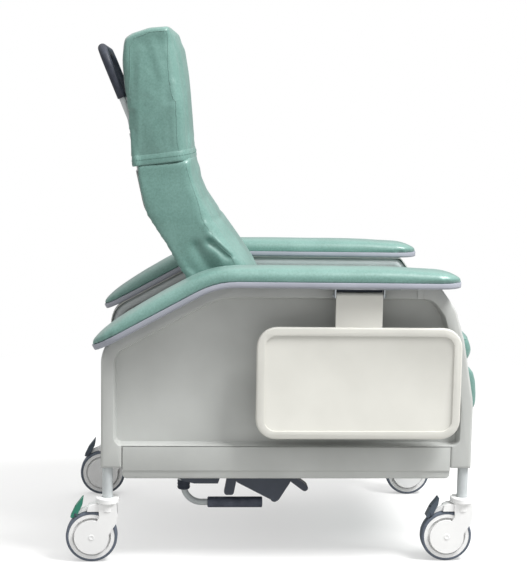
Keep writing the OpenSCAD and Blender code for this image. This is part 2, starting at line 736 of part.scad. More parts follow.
module seat_rail() {
    difference() {
        union() {
            block([seat_rail_x0, rail_front, rail_z0], [seat_rail_x1, rail_rear_y, rail_z1]);
            plate(lug_x0, seat_rail_x1) polygon(rounded([
                [tilt_y - 2 * upright_head, rail_z0 + over, 0], [tilt_y - upright_head, tilt_z - upright_head, plate_r],
                [tilt_y + upright_head, tilt_z - upright_head, plate_r],
                [tilt_y + 2 * upright_head, rail_z0 + over, 0]]));
            plate(seat_rail_x0 + gap, seat_rail_x1) {
                translate([hinge_y, hinge_z]) circle(r = hinge_lug_r);
                polygon([[hinge_y - hinge_lug_r, rail_z1 - over], [hinge_y + hinge_lug_r, rail_z1 - over],
                         [hinge_y + hinge_lug_r, hinge_z], [hinge_y - hinge_lug_r, hinge_z]]);
            }
            cross_bar(back_tube_x - hinge_pin_r, seat_rail_x0 + over, hinge_y, hinge_z, hinge_pin_r);
        }
        block([seat_rail_x0 + rail_wall, rail_front - over, rail_z0 + rail_wall],
              [seat_rail_x1 - rail_wall, rail_rear_y - rail, rail_z1 - rail_wall]);
        cross_bar(lug_x0 - over, seat_rail_x1 + over, tilt_y, tilt_z, tilt_pin_r + fit);
    }
}
module seat_rails() {
    color(tube_grey) both_sides() seat_rail();
}
seat_bar_ys = [-400, -150, 70];
strut_x = -200;
strut_top_y = 150;
strut_bar_r = 10;
eye_t = 14;
clevis_t = 5;
clevis_r = 12;
strut_pin_r = 5;
strut_top_z = rail_z0 - clevis_r - over;
module seat_bars() {
    x = seat_rail_x0 - gap / 2;
    color(tube_grey) {
        for (y = seat_bar_ys) block([-x, y - rail / 2, rail_z1 - rail], [x, y + rail / 2, rail_z1]);
        cross_bar(-x, x, strut_top_y, rail_z0 + strut_bar_r, strut_bar_r);
        for (s = [-1, 1])
            translate([strut_x + s * (eye_t + clevis_t + pass) / 2, 0, 0]) plate(-clevis_t / 2, clevis_t / 2) {
                translate([strut_top_y, strut_top_z]) circle(r = clevis_r);
                polygon([[strut_top_y - clevis_r, strut_top_z], [strut_top_y + clevis_r, strut_top_z],
                         [strut_top_y + clevis_r, rail_z0 + strut_bar_r],
                         [strut_top_y - clevis_r, rail_z0 + strut_bar_r]]);
            }
        cross_bar(strut_x - eye_t / 2 - clevis_t, strut_x + eye_t / 2 + clevis_t, strut_top_y, strut_top_z,
                  strut_pin_r);
    }
}
board_rear_y = 118;
board_front_y = -470;
module seat_board() {
    color(board_tan) block([-cushion_w / 2 + gap, board_front_y, seat_z - board_t],
                           [cushion_w / 2 - gap, board_rear_y, seat_z]);
}

// Cushions are skinned from side to side, from a side section to a fuller middle one. Sections are lists of
// [y, z], counterclockwise seen from +X. Widths are shares of the half width.
fill = 3.5;
soften = 0.6;
function swell(s) = pow(1 - pow(abs(s), fill), soften);
function blend(a, b, f) = [for (i = [0:len(a) - 1]) a[i] + (b[i] - a[i]) * f];
function drawn(pts, d) = [for (q = inset([for (p = pts) [p.x, p.y, 0]], d)) [q.x, q.y]];
function edge_draw(s, d) = abs(s) == 1 ? d : abs(s) > 0.98 ? d / 4 : 0;
// Half the width over which a cushion's back steps in to clear the tubes
hollow_step = 0.0025;
width_shares = [-1, -0.985, -0.95, -0.88, -0.76, -0.57, -0.3, 0, 0.3, 0.57, 0.76, 0.88, 0.95, 0.985, 1];
hollow_share = (back_tube_x + back_tube_r + lip_r) / (cushion_w / 2);
hollow_shares = [
    -1, -0.985, -hollow_share - hollow_step, hollow_step - hollow_share, -0.9, -0.78, -0.6, -0.3, 0,
    0.3, 0.6, 0.78, 0.9, hollow_share - hollow_step, hollow_share + hollow_step, 0.985, 1
];
cushion_edge = 6;
module cushion(half, side, middle) {
    loft([for (s = width_shares)
        lift(s * half, drawn(blend(side, middle, swell(s)), edge_draw(s, cushion_edge)))]);
}
module hollow_cushion(half, side, middle, hollows) {
    loft([for (s = hollow_shares)
        lift(s * half, drawn(
            [for (i = [0:len(side) - 1])
                blend(side, middle, swell(s))[i] - [abs(s) < hollow_share ? hollows[i] : 0, 0]],
            edge_draw(s, cushion_edge)
        ))]);
}

// Seat cushion. Shares of its length from the rear edge, of its edge height, and of the crown, forward and up.
seat_rear_y = 60;
seat_l = 547;
seat_shares = [
    [0.976, 0, 0.2, 0], [0.007, 0, 0, 0], [0, 0.08, 0, 0], [0, 0.87, 0, 0.1], [0.013, 0.975, 0, 0.4],
    [0.18, 1, 0, 0.85], [0.43, 1, 0, 1], [0.68, 1, 0, 1], [0.692, 0.98, 0, 0.65], [0.704, 1, 0, 1],
    [0.896, 1, 0, 0.95], [0.951, 0.96, 0.35, 0.85], [0.984, 0.78, 0.7, 0.4], [1, 0.5, 0.72, 0.05],
    [0.998, 0.28, 0.72, 0], [0.987, 0.12, 0.4, 0]
];
module seat_cushion() {
    side = [for (s = seat_shares) [seat_rear_y - seat_l * s[0], seat_z + seat_t * s[1]]];
    middle = [for (i = [0:len(side) - 1]) side[i] + seat_crown * [-seat_shares[i][2], seat_shares[i][3]]];
    color(vinyl_green) cushion(cushion_w / 2, side, middle);
}

// Back: two bent tubes with eyes on the seat's hinge pins, joined by bars, and a thin panel behind them
back_h = back_top - seat_z;
// Line of the tubes, as shares of the back's height: along the chair from the origin, and up from the seat board
back_line_shares = [[0.1867, 0.0233], [0.188, 0.1302], [0.2383, 0.2617], [0.371, 0.4693], [0.4189, 0.683]];
back_bend = 60;
back_line = [for (s = back_line_shares) [s[0] * back_h, seat_z + s[1] * back_h, back_bend]];
function on_line(z) =
    let (i = max([for (k = [0:len(back_line) - 2]) if (back_line[k][1] <= z) k]),
         a = back_line[i], b = back_line[i + 1])
    a[0] + (b[0] - a[0]) * (z - a[1]) / (b[1] - a[1]);
// Heights of the bars, as shares of the back's height
back_bar_shares = [0.167, 0.413, 0.61];
back_bar_r = 8;
back_eye_r = 15;
socket_h = 60;
bar_r = 8;
tube_top = back_line[len(back_line) - 1];
tube_way = unit(flat(tube_top) - flat(back_line[len(back_line) - 2]));
module back_tubes() {
    color(tube_grey) {
        for (s = [-1, 1]) difference() {
            union() {
                pipe([for (p = back_line) [s * back_tube_x, p[0], p[1], p[2]]], back_tube_r);
                cross_bar(s * back_tube_x - back_tube_r, s * back_tube_x + back_tube_r, hinge_y, hinge_z, back_eye_r);
            }
            cross_bar(s * back_tube_x - cup_d, s * back_tube_x + cup_d, hinge_y, hinge_z, hinge_pin_r + fit);
            run([s * back_tube_x, tube_top[0] - tube_way.x * socket_h, tube_top[1] - tube_way.y * socket_h],
                [s * back_tube_x, tube_top[0] + tube_way.x * socket_h, tube_top[1] + tube_way.y * socket_h],
                bar_r + fit);
        }
        for (s = back_bar_shares) {
            z = seat_z + s * back_h;
            cross_bar(-back_tube_x + bar_r + over, back_tube_x - bar_r - over, on_line(z), z, back_bar_r);
        }
    }
}
// Height range of the rear panel, as shares of the back's height
back_panel_shares = [0.15, 0.57];
back_panel_x = 246;
module back_panel() {
    around = concat(back_line, [[-back_h, back_line[4][1], 0], [-back_h, back_line[0][1], 0]]);
    near = -back_tube_r - gap;
    color(panel_grey) plate(-back_panel_x, back_panel_x) intersection() {
        difference() {
            polygon(rounded(inset(around, near - panel_wall)));
            polygon(rounded(inset(around, near)));
        }
        translate([0, seat_z + back_h * back_panel_shares[0]])
            square([back_h, back_h * (back_panel_shares[1] - back_panel_shares[0])]);
    }
}

// Back cushion, in shares of the back's height as above: rear edge upward, then the front edge downward.
// The middle section lists the front edge only where it is fuller. Rear points are sunk to clear the tubes.
back_rear_shares = [
    [0.2027, 0.1241], [0.2211, 0.1916], [0.2568, 0.2654], [0.301, 0.3292], [0.3391, 0.3882], [0.3759, 0.4447],
    [0.3956, 0.516]
];
back_side_shares = [
    [0.4054, 0.582], [0.2666, 0.591], [0.2494, 0.5332], [0.2297, 0.4791], [0.2174, 0.4349], [0.2138, 0.4263],
    [0.2101, 0.4177], [0.188, 0.3808], [0.156, 0.3489], [0.1265, 0.3206], [0.1032, 0.2654], [0.086, 0.2101],
    [0.0786, 0.1572], [0.0885, 0.14], [0.1413, 0.1302]
];
back_middle_shares = [
    [0.4054, 0.5828], [0.2322, 0.6138], [0.2162, 0.5418], [0.1941, 0.4914], [0.1548, 0.4349], [0.1536, 0.4263],
    [0.1413, 0.4177], [0.1081, 0.3722], [0.0762, 0.3268], [0.0467, 0.2838], [0.0172, 0.2285], [-0.0172, 0.1695],
    [-0.0319, 0.1425], [-0.0197, 0.1278], [0.0614, 0.1253]
];
back_sink = 34;
function back_points(shares) = [for (s = shares) [s[0] * back_h, seat_z + s[1] * back_h]];
module back_cushion() {
    sunk = len(back_rear_shares) + 1;
    color(vinyl_green) hollow_cushion(
        cushion_w / 2,
        back_points(concat(back_rear_shares, back_side_shares)),
        back_points(concat(back_rear_shares, back_middle_shares)),
        [for (i = [0:len(back_rear_shares) + len(back_side_shares) - 1]) i < sunk ? back_sink : 0]
    );
}
// Head cushion, in the same shares
head_rear_shares = [
    [0.4177, 0.5848], [0.4263, 0.6155], [0.43, 0.6523], [0.4337, 0.7076], [0.4349, 0.7506], [0.4361, 0.7936],
    [0.4435, 0.8452], [0.4509, 0.898], [0.4521, 0.9386]
];
head_side_shares = [
    [0.4459, 0.957], [0.4263, 0.9693], [0.3747, 0.9853], [0.3219, 0.9914], [0.3206, 0.9558], [0.3231, 0.898],
    [0.317, 0.8366], [0.3047, 0.7813], [0.2985, 0.7383], [0.2948, 0.683], [0.2899, 0.6339], [0.2703, 0.5946]
];
head_middle_shares = [
    [0.4472, 0.9607], [0.4263, 0.9767], [0.3747, 0.9939], [0.317, 1], [0.285, 0.9767], [0.269, 0.9287],
    [0.258, 0.8612], [0.2506, 0.7998], [0.2457, 0.7445], [0.2408, 0.6843], [0.2334, 0.645], [0.2334, 0.6179]
];
// How far each rear point is sunk, as shares of the depth
head_sink_shares = [1, 1, 1, 1, 0.5, 0, 0, 0, 0];
head_sink = 30;
module head_cushion() {
    sunk = len(head_sink_shares);
    color(vinyl_green) hollow_cushion(
        cushion_w / 2,
        back_points(concat(head_rear_shares, head_side_shares)),
        back_points(concat(head_rear_shares, head_middle_shares)),
        [for (i = [0:sunk + len(head_side_shares) - 1]) i < sunk ? head_sink * head_sink_shares[i] : 0]
    );
}

// Push bar, pushed into the back tubes and bent over the head, with a foam grip.
// Its bends and its top, as shares of the back's height.
bar_bend_shares = [[0.4283, 0.7248], [0.5135, 0.9287]];
bar_start = flat(tube_top) - tube_way * (socket_h - over);
bar_bend = back_bend;
bar_top_bend = 45;
bar_knee = back_points(bar_bend_shares)[0];
bar_high = back_points(bar_bend_shares)[1];
bar_way = unit(bar_high - bar_knee);
grip_from = 53;
foam_t = 3;
grip_low = bar_knee + bar_way * grip_from;
module push_path(r) {
    x = back_tube_x;
    pipe([[-x, bar_start.x, bar_start.y], [-x, bar_knee.x, bar_knee.y, bar_bend],
          [-x, bar_high.x, bar_high.y, bar_top_bend], [x, bar_high.x, bar_high.y, bar_top_bend],
          [x, bar_knee.x, bar_knee.y, bar_bend], [x, bar_start.x, bar_start.y]], r);
}
module grip_path(low, r) {
    x = back_tube_x;
    pipe([[-x, low.x, low.y], [-x, bar_high.x, bar_high.y, bar_top_bend],
          [x, bar_high.x, bar_high.y, bar_top_bend], [x, low.x, low.y]], r);
}
module push_bar() {
    color(tube_grey) push_path(bar_r);
}
module push_grip() {
    color(foam_black) difference() {
        grip_path(grip_low, bar_r + foam_t);
        grip_path(grip_low - bar_way * over, bar_r);
    }
}

// Leg rest: bars that slide in the seat rails, a calf board on pins at their ends, and a foot board under it
slide_rear_y = -150;
slide_gap = gap;
calf_pin_y = -468;
calf_pin_z = rail_z0 + rail / 2;
calf_pin_r = 5;
slide_nose = 8;
strap_t = 8;
strap_r = 11;
strap_x = seat_rail_x0 - 2 * strap_t + soft_r;
module leg_slides() {
    color(steel) both_sides() {
        block([seat_rail_x0 + rail_wall + slide_gap, calf_pin_y - slide_nose, rail_z0 + rail_wall + slide_gap],
              [seat_rail_x1 - rail_wall - slide_gap, slide_rear_y, rail_z1 - rail_wall - slide_gap]);
        cross_bar(strap_x - lip_r, seat_rail_x0 + rail_wall + over, calf_pin_y, calf_pin_z, calf_pin_r);
    }
}
calf_set = 10;
calf_board_y = calf_pin_y - calf_set;
calf_w = 470;
foot_w = 384;
calf_low_z = 370;
foot_hinge_y = -465;
foot_hinge_z = 358;
foot_rod_r = 5;
foot_eye_r = 9;
module calf_board() {
    x = strap_x;
    y1 = calf_board_y + board_t;
    mid_z = calf_pin_z - strap_r;
    color(board_tan) difference() {
        union() {
            block([-x - strap_t, calf_board_y, calf_low_z], [x + strap_t, y1, mid_z]);
            block([over - x, calf_board_y, mid_z - over], [x - over, y1, rail_z1 - soft_r]);
            both_sides() {
                plate(x, x + strap_t) {
                    translate([calf_pin_y, calf_pin_z]) circle(r = strap_r);
                    polygon([[calf_pin_y - strap_r + over, mid_z - strap_r], [y1, mid_z - strap_r],
                             [y1, calf_pin_z], [calf_pin_y - strap_r + over, calf_pin_z]]);
                }
                plate(foot_w / 2 + strap_t, foot_w / 2 + 2 * strap_t) {
                    translate([foot_hinge_y, foot_hinge_z]) circle(r = foot_eye_r);
                    polygon([[calf_board_y, calf_low_z + over], [foot_hinge_y - foot_eye_r, foot_hinge_z],
                             [foot_hinge_y + foot_eye_r, foot_hinge_z], [y1, calf_low_z + over]]);
                }
            }
            cross_bar(-foot_w / 2 - 2 * strap_t, foot_w / 2 + 2 * strap_t, foot_hinge_y, foot_hinge_z, foot_rod_r);
        }
        both_sides() cross_bar(x - 2 * strap_t, x + 2 * strap_t, calf_pin_y, calf_pin_z, calf_pin_r + fit);
    }
}
// Section of the calf pad, as shares of its thickness forward and of its height up
calf_shares = [
    [0, 0.02], [0, 0.98], [0.16, 1], [0.35, 0.976], [0.69, 0.88], [0.92, 0.68], [1, 0.435], [1, 0.226],
    [0.83, 0.11], [0.5, 0.024], [0.16, 0]
];
calf_pad_low_z = 350;
side_share = 0.75;
module calf_pad() {
    y = calf_board_y - gap;
    h = rail_z1 + soft_r - calf_pad_low_z;
    color(vinyl_green) cushion(
        calf_w / 2,
        [for (s = calf_shares) [y - leg_pad_t * side_share * s[0], calf_pad_low_z + h * s[1]]],
        [for (s = calf_shares) [y - leg_pad_t * s[0], calf_pad_low_z + h * s[1]]]
    );
}
foot_fold = 25;
foot_l = 366;
foot_board_in = 8;
foot_pad_in = 14;
foot_barrel_w = 40;
module foot_place() {
    translate([0, foot_hinge_y, foot_hinge_z]) rotate([-foot_fold, 0, 0]) children();
}
module foot_board() {
    x = foot_w / 2;
    color(board_tan) foot_place() difference() {
        union() {
            block([-x, foot_board_in, -board_t / 2], [x, foot_l, board_t / 2]);
            for (s = [-1, 1]) cross_bar(s * (x - foot_barrel_w / 2) - foot_barrel_w / 2,
                                        s * (x - foot_barrel_w / 2) + foot_barrel_w / 2, 0, 0, foot_eye_r);
        }
        cross_bar(-x - over, x + over, 0, 0, foot_rod_r + fit);
    }
}
// Section of the foot pad, as shares of its length from the hinge and of its thickness down
foot_shares = [
    [0, 0.5], [0.03, 0.82], [0.08, 0.95], [0.3, 1], [0.7, 1], [0.92, 0.95], [0.975, 0.82], [1, 0.5],
    [1, 0.12], [0.988, 0], [0.012, 0], [0, 0.12]
];
module foot_pad() {
    l = foot_l - foot_pad_in;
    z = -board_t / 2 - gap;
    color(vinyl_green) foot_place() cushion(
        foot_w / 2,
        [for (s = foot_shares) [foot_pad_in + l * s[0], z - leg_pad_t * side_share * s[1]]],
        [for (s = foot_shares) [foot_pad_in + l * s[0], z - leg_pad_t * s[1]]]
    );
}

// Foot pedal: a bracket on the middle cross tube, a bent lever with a boot, and a grip on it
lever_y = 212;
lever_z = 188;
lever_pin_r = 5;
lever_eye_r = 9;
lever_r = 8;
lever_bend = 45;
lever_low_z = 117;
grip_y = 14;
boot_r = 15;
boot_h = 24;
boot_z = 154;
lever_half = 20;
side_plate_t = 4;
box_y0 = 127;
box_y1 = 186;
box_z0 = 171;
box_z1 = 240;
stop_y0 = 80;
stop_y1 = 105;
stop_z = 137;
stop_lean = 7;
stop_knee_z = 175;
stop_round = 7;
module foot_bracket() {
    half = lever_half + pass;
    color(dark_blue) difference() {
        union() {
            for (s = [-1, 1]) translate([strut_x + s * (half + side_plate_t / 2), 0, 0])
                plate(-side_plate_t / 2, side_plate_t / 2) polygon(rounded([
                    [mid_tube_y - 2 * cross_r, cross_z, plate_r], [box_y0, box_z0, soft_r], [box_y1, box_z0, soft_r],
                    [lever_y + lever_eye_r, lever_z - lever_eye_r, lever_eye_r],
                    [lever_y + lever_eye_r, lever_z + lever_eye_r, lever_eye_r], [box_y1, box_z1, plate_r],
                    [mid_tube_y + 2 * cross_r, cross_z + cross_r, plate_r],
                    [mid_tube_y - cross_r, cross_z + 2 * cross_r, plate_r]]));
            block([strut_x - half - over, box_y0, box_z0], [strut_x + half + over, box_y0 + panel_wall, box_z1]);
            block([strut_x - half - over, box_y1 - panel_wall, lever_z + boot_r],
                  [strut_x + half + over, box_y1, box_z1 - plate_r]);
            plate(strut_x - lever_r, strut_x + lever_r) polygon(rounded([
                [stop_y0 + stop_lean, stop_z, stop_round], [stop_y1 + stop_lean, stop_z, stop_round],
                [stop_y1, stop_knee_z, plate_r], [stop_y1, box_z1, plate_r], [box_y0 + over, box_z1 - over, 0],
                [box_y0 + over, cross_z, 0], [mid_tube_y, cross_z, 0], [stop_y0, cross_z, plate_r],
                [stop_y0, stop_knee_z, plate_r]]));
            cross_bar(strut_x - half - side_plate_t, strut_x + half + side_plate_t, lever_y, lever_z, lever_pin_r);
        }
        cross_bar(strut_x - cup_d, strut_x + cup_d, mid_tube_y, cross_z, saddle_r);
    }
}
module foot_lever() {
    color(dark_blue) difference() {
        union() {
            cross_bar(strut_x - lever_half, strut_x + lever_half, lever_y, lever_z, lever_eye_r);
            pipe([[strut_x, lever_y, lever_z], [strut_x, lever_y, lever_low_z, lever_bend],
                  [strut_x, grip_y + over, lever_low_z]], lever_r);
            translate([strut_x, lever_y, boot_z]) cylinder(h = boot_h, r = boot_r);
        }
        cross_bar(strut_x - cup_d, strut_x + cup_d, lever_y, lever_z, lever_pin_r + fit);
    }
}
module foot_grip() {
    color(foam_black) translate([strut_x, grip_y + grip_l, lever_low_z]) rotate([90, 0, 0]) difference() {
        rotate_extrude() polygon(rounded([
            [0, 0, 0], [grip_d / 2, 0, lip_r], [grip_d / 2, grip_l, lip_r], [0, grip_l, 0]]));
        translate([0, 0, -over]) cylinder(h = grip_l, r = lever_r);
    }
}

// Tilt strut: a clevis on the cross tubes, a cylinder on its pin, and a rod up to the seat's rear bar
strut_low_y = -16;
strut_low_z = 132;
strut_gap = 15;
strut_r = 14;
rod_r = 5;
strut_way = unit([strut_top_y - strut_low_y, strut_top_z - strut_low_z]);
strut_l = norm([strut_top_y - strut_low_y, strut_top_z - strut_low_z]);
strut_plate_r = 12;
brace_y = 80;
brace_z = 173;
stop_end_y = -92;
stop_end_z = 157;
rod_bore_from = 80;
rod_from = 130;
cylinder_end = 228;
eye_play = 0.8;
module strut_bracket() {
    color(dark_blue) difference() {
        union() {
            for (s = [-1, 1]) translate([strut_x + s * (strut_gap + side_plate_t / 2), 0, 0])
                plate(-side_plate_t / 2, side_plate_t / 2) polygon(rounded([
                    [strut_low_y - strut_plate_r / 2, strut_low_z - strut_plate_r, strut_plate_r],
                    [brace_y, brace_z, plate_r], [mid_tube_y, cross_z, 0],
                    [fore_tube_y - cross_r - lip_r, cross_z, lip_r],
                    [fore_tube_y - cross_r - lip_r, brace_z, plate_r]]));
            cross_bar(strut_x - strut_gap - side_plate_t, strut_x + strut_gap + side_plate_t, strut_low_y,
                      strut_low_z, strut_pin_r);
            plate(strut_x - strut_gap - over, strut_x + strut_gap + over) {
                translate([stop_end_y, stop_end_z]) circle(r = lever_r);
                polygon([[stop_end_y + lever_r / 2, stop_end_z - lever_r + over / 2],
                         [fore_tube_y - cross_r / 2, brace_z + lever_r],
                         [fore_tube_y - cross_r, brace_z + 3 * lever_r],
                         [stop_end_y - lever_r / 2, stop_end_z + lever_r - over / 2]]);
            }
        }
        for (y = cross_ys) cross_bar(strut_x - cup_d, strut_x + cup_d, y, cross_z, saddle_r);
    }
}
function strut_at(d) = [strut_x, strut_low_y + strut_way.x * d, strut_low_z + strut_way.y * d];
module strut_cylinder() {
    eye = strut_gap - pass;
    color(dark_blue) difference() {
        union() {
            cross_bar(strut_x - eye, strut_x + eye, strut_low_y, strut_low_z, clevis_r - over);
            run(strut_at(0), strut_at(cylinder_end), strut_r);
        }
        cross_bar(strut_x - cup_d, strut_x + cup_d, strut_low_y, strut_low_z, strut_pin_r + fit);
        run(strut_at(rod_bore_from), strut_at(cylinder_end + over), rod_r + fit);
    }
}
module strut_rod() {
    color(steel) difference() {
        union() {
            run(strut_at(rod_from), strut_at(strut_l - strut_pin_r - soft_r), rod_r);
            cross_bar(strut_x - eye_t / 2, strut_x + eye_t / 2, strut_top_y, strut_top_z, clevis_r - over);
        }
        cross_bar(strut_x - eye_t, strut_x + eye_t, strut_top_y, strut_top_z, strut_pin_r + eye_play);
    }
}

right() front_leg();  // front_leg_r
left() front_leg();  // front_leg_l
right() rear_leg();  // rear_leg_r
left() rear_leg();  // rear_leg_l
right() arm_rail();  // arm_rail_r
left() arm_rail();  // arm_rail_l
right() lower_rail();  // lower_rail_r
left() lower_rail();  // lower_rail_l
cross_tubes();
right() side_panel();  // side_panel_r
left() side_panel();  // side_panel_l
right() skirt();  // skirt_r
left() skirt();  // skirt_l
right() arm_base();  // arm_base_r
left() arm_base();  // arm_base_l
right() arm_pad();  // arm_pad_r
left() arm_pad();  // arm_pad_l
right() tray_bracket();  // tray_bracket_r
left() tray_bracket();  // tray_bracket_l
right() tray();  // tray_r
left() tray();  // tray_l
caster_stems();
at_caster(-1, stem_r_y) caster_housing();  // caster_rr
at_caster(1, stem_r_y) caster_housing();  // caster_rl
at_caster(-1, stem_f_y) caster_housing();  // caster_fr
at_caster(1, stem_f_y) caster_housing();  // caster_fl
at_caster(-1, stem_r_y) rim();  // rim_rr
at_caster(1, stem_r_y) rim();  // rim_rl
at_caster(-1, stem_f_y) rim();  // rim_fr
at_caster(1, stem_f_y) rim();  // rim_fl
at_caster(-1, stem_r_y) tyre();  // tyre_rr
at_caster(1, stem_r_y) tyre();  // tyre_rl
at_caster(-1, stem_f_y) tyre();  // tyre_fr
at_caster(1, stem_f_y) tyre();  // tyre_fl
at_caster(-1, stem_r_y) brake_pedal(pedal_green);  // pedal_rr
at_caster(1, stem_r_y) brake_pedal(dark_blue);  // pedal_rl
at_caster(-1, stem_f_y) brake_pedal(dark_blue);  // pedal_fr
at_caster(1, stem_f_y) brake_pedal(dark_blue);  // pedal_fl
tilt_uprights();
seat_rails();
seat_bars();
seat_board();
seat_cushion();
back_tubes();
back_panel();
back_cushion();
head_cushion();
push_bar();
push_grip();
leg_slides();
calf_board();
calf_pad();
foot_board();
foot_pad();
foot_bracket();
foot_lever();
foot_grip();
strut_bracket();
strut_cylinder();
strut_rod();
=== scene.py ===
"""A wheeled clinical recliner with padded arms, side trays, a push bar and a leg rest, dressed for rendering.

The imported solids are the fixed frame. Each class below dresses one sub-assembly: rigid mouldings get eased
edges, cushions are swollen as foam in a sewn vinyl cover, and seams, hems, piping and fixings are added.
Lengths are in metres, with +Z up, the seat facing -Y and the photographed side at -X.
"""

import logging
import math
from dataclasses import dataclass, field
from enum import Enum
from typing import Callable, Iterable, Optional, Sequence

import bmesh
import bpy
from mathutils import Matrix, Vector
from mathutils.bvhtree import BVHTree
from mathutils.noise import noise


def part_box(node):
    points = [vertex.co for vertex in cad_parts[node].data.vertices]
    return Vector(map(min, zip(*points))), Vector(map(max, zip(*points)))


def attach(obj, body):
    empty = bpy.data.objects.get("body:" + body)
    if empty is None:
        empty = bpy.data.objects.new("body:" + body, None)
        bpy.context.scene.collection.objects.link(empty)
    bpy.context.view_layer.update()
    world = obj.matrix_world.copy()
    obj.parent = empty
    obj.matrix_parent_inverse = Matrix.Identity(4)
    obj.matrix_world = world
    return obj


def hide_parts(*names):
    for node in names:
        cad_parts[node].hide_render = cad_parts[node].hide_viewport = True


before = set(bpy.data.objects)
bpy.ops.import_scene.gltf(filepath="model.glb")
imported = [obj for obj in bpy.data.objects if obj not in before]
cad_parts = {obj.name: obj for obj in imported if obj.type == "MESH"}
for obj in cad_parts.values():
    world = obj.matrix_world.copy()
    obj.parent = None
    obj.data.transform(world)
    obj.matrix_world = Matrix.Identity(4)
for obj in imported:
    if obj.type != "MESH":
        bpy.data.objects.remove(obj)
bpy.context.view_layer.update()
log = logging.getLogger("recliner")

MM = 0.001


class Side(Enum):
    """Side of the chair, by the sign of X."""

    RIGHT = -1
    LEFT = 1

    @property
    def letter(self) -> str:
        """Letter that ends the names of this side's nodes."""
        return "r" if self is Side.RIGHT else "l"

    @property
    def word(self) -> str:
        """Word that ends the names of this side's bodies."""
        return "right" if self is Side.RIGHT else "left"


class Corner(Enum):
    """Corner of the chair that a caster stands at: front or rear, then right or left."""

    REAR_RIGHT = "rr"
    REAR_LEFT = "rl"
    FRONT_RIGHT = "fr"
    FRONT_LEFT = "fl"


# ---------------------------------------------------------------------------------------------
# Node and colour helpers
# ---------------------------------------------------------------------------------------------


def linear(hex_colour: str) -> tuple[float, float, float, float]:
    """Turns an sRGB hex colour to linear light.

    Args:
        hex_colour: Six hex digits, with or without a leading hash.

    Returns:
        Linear red, green, blue and an alpha of 1.
    """
    digits = hex_colour.lstrip("#")
    parts = [int(digits[i:i + 2], 16) / 255 for i in (0, 2, 4)]
    line = [p / 12.92 if p <= 0.04045 else ((p + 0.055) / 1.055) ** 2.4 for p in parts]
    return (line[0], line[1], line[2], 1.0)


def add_node(tree: bpy.types.NodeTree, kind: str, settings: Optional[dict] = None,
             **inputs: object) -> bpy.types.Node:
    """Adds a node, sets its properties and fills or links its inputs.

    Args:
        tree: Node tree that gets the node.
        kind: Blender's name of the node type.
        settings: Properties of the node itself.
        inputs: Values or output sockets by input name, with underscores for spaces. A name that ends in
            an underscore and a number picks an input by its place.

    Returns:
        The new node.
    """
    made = tree.nodes.new(kind)
    for key, value in (settings or {}).items():
        setattr(made, key, value)
    for key, value in inputs.items():
        head, _, tail = key.rpartition("_")
        socket = made.inputs[int(tail)] if head == "at" else made.inputs[key.replace("_", " ")]
        if isinstance(value, bpy.types.NodeSocket):
            tree.links.new(value, socket)
        else:
            socket.default_value = value
    return made


def per_metre(size_mm: float) -> float:
    """Scale of a pattern whose features are this many millimetres apart, on coordinates in metres."""
    return 1.0 / (size_mm * MM)


# ---------------------------------------------------------------------------------------------
# Finishes
# ---------------------------------------------------------------------------------------------


@dataclass(frozen=True)
class Finish:
    """A surface finish with a base colour and a principled shader."""

    name: str
    colour: str
    slot: str
    roughness: float = 0.5
    metallic: float = 0.0
    ior: float = 1.46

    def build(self) -> bpy.types.Material:
        """Makes the material once and returns it on later calls."""
        found = bpy.data.materials.get(self.name)
        if found is not None:
            return found
        material = bpy.data.materials.new(self.name)
        material.use_nodes = True
        tree = material.node_tree
        tree.nodes.clear()
        shader = add_node(tree, "ShaderNodeBsdfPrincipled", Roughness=self.roughness,
                          Metallic=self.metallic, IOR=self.ior)
        out = add_node(tree, "ShaderNodeOutputMaterial", Surface=shader.outputs["BSDF"])
        out.is_active_output = True
        self.dress(tree, shader)
        material.diffuse_color = linear(self.colour)
        return material

    def dress(self, tree: bpy.types.NodeTree, shader: bpy.types.Node) -> None:
        """Adds this finish's pattern to the shader.

        Args:
            tree: The material's node tree.
            shader: Its principled shader.
        """
        shader.inputs["Base Color"].default_value = linear(self.colour)

    def tint(self, tree: bpy.types.NodeTree, shader: bpy.types.Node, factor: bpy.types.NodeSocket,
             dark: str, light: str, low: float = 0.3, high: float = 0.7) -> None:
        """Drives the base colour from a factor, between two colours.

        Args:
            tree: The material's node tree.
            shader: Its principled shader.
            factor: Output socket that runs from about 0 to 1.
            dark: Colour at the low end.
            light: Colour at the high end.
            low: Factor at which the dark colour ends.
            high: Factor at which the light colour starts.
        """
        ramp = add_node(tree, "ShaderNodeValToRGB", Fac=factor)
        ramp.color_ramp.elements[0].position = low
        ramp.color_ramp.elements[1].position = high
        ramp.color_ramp.elements[0].color = linear(dark)
        ramp.color_ramp.elements[1].color = linear(light)
        tree.links.new(ramp.outputs["Color"], shader.inputs["Base Color"])


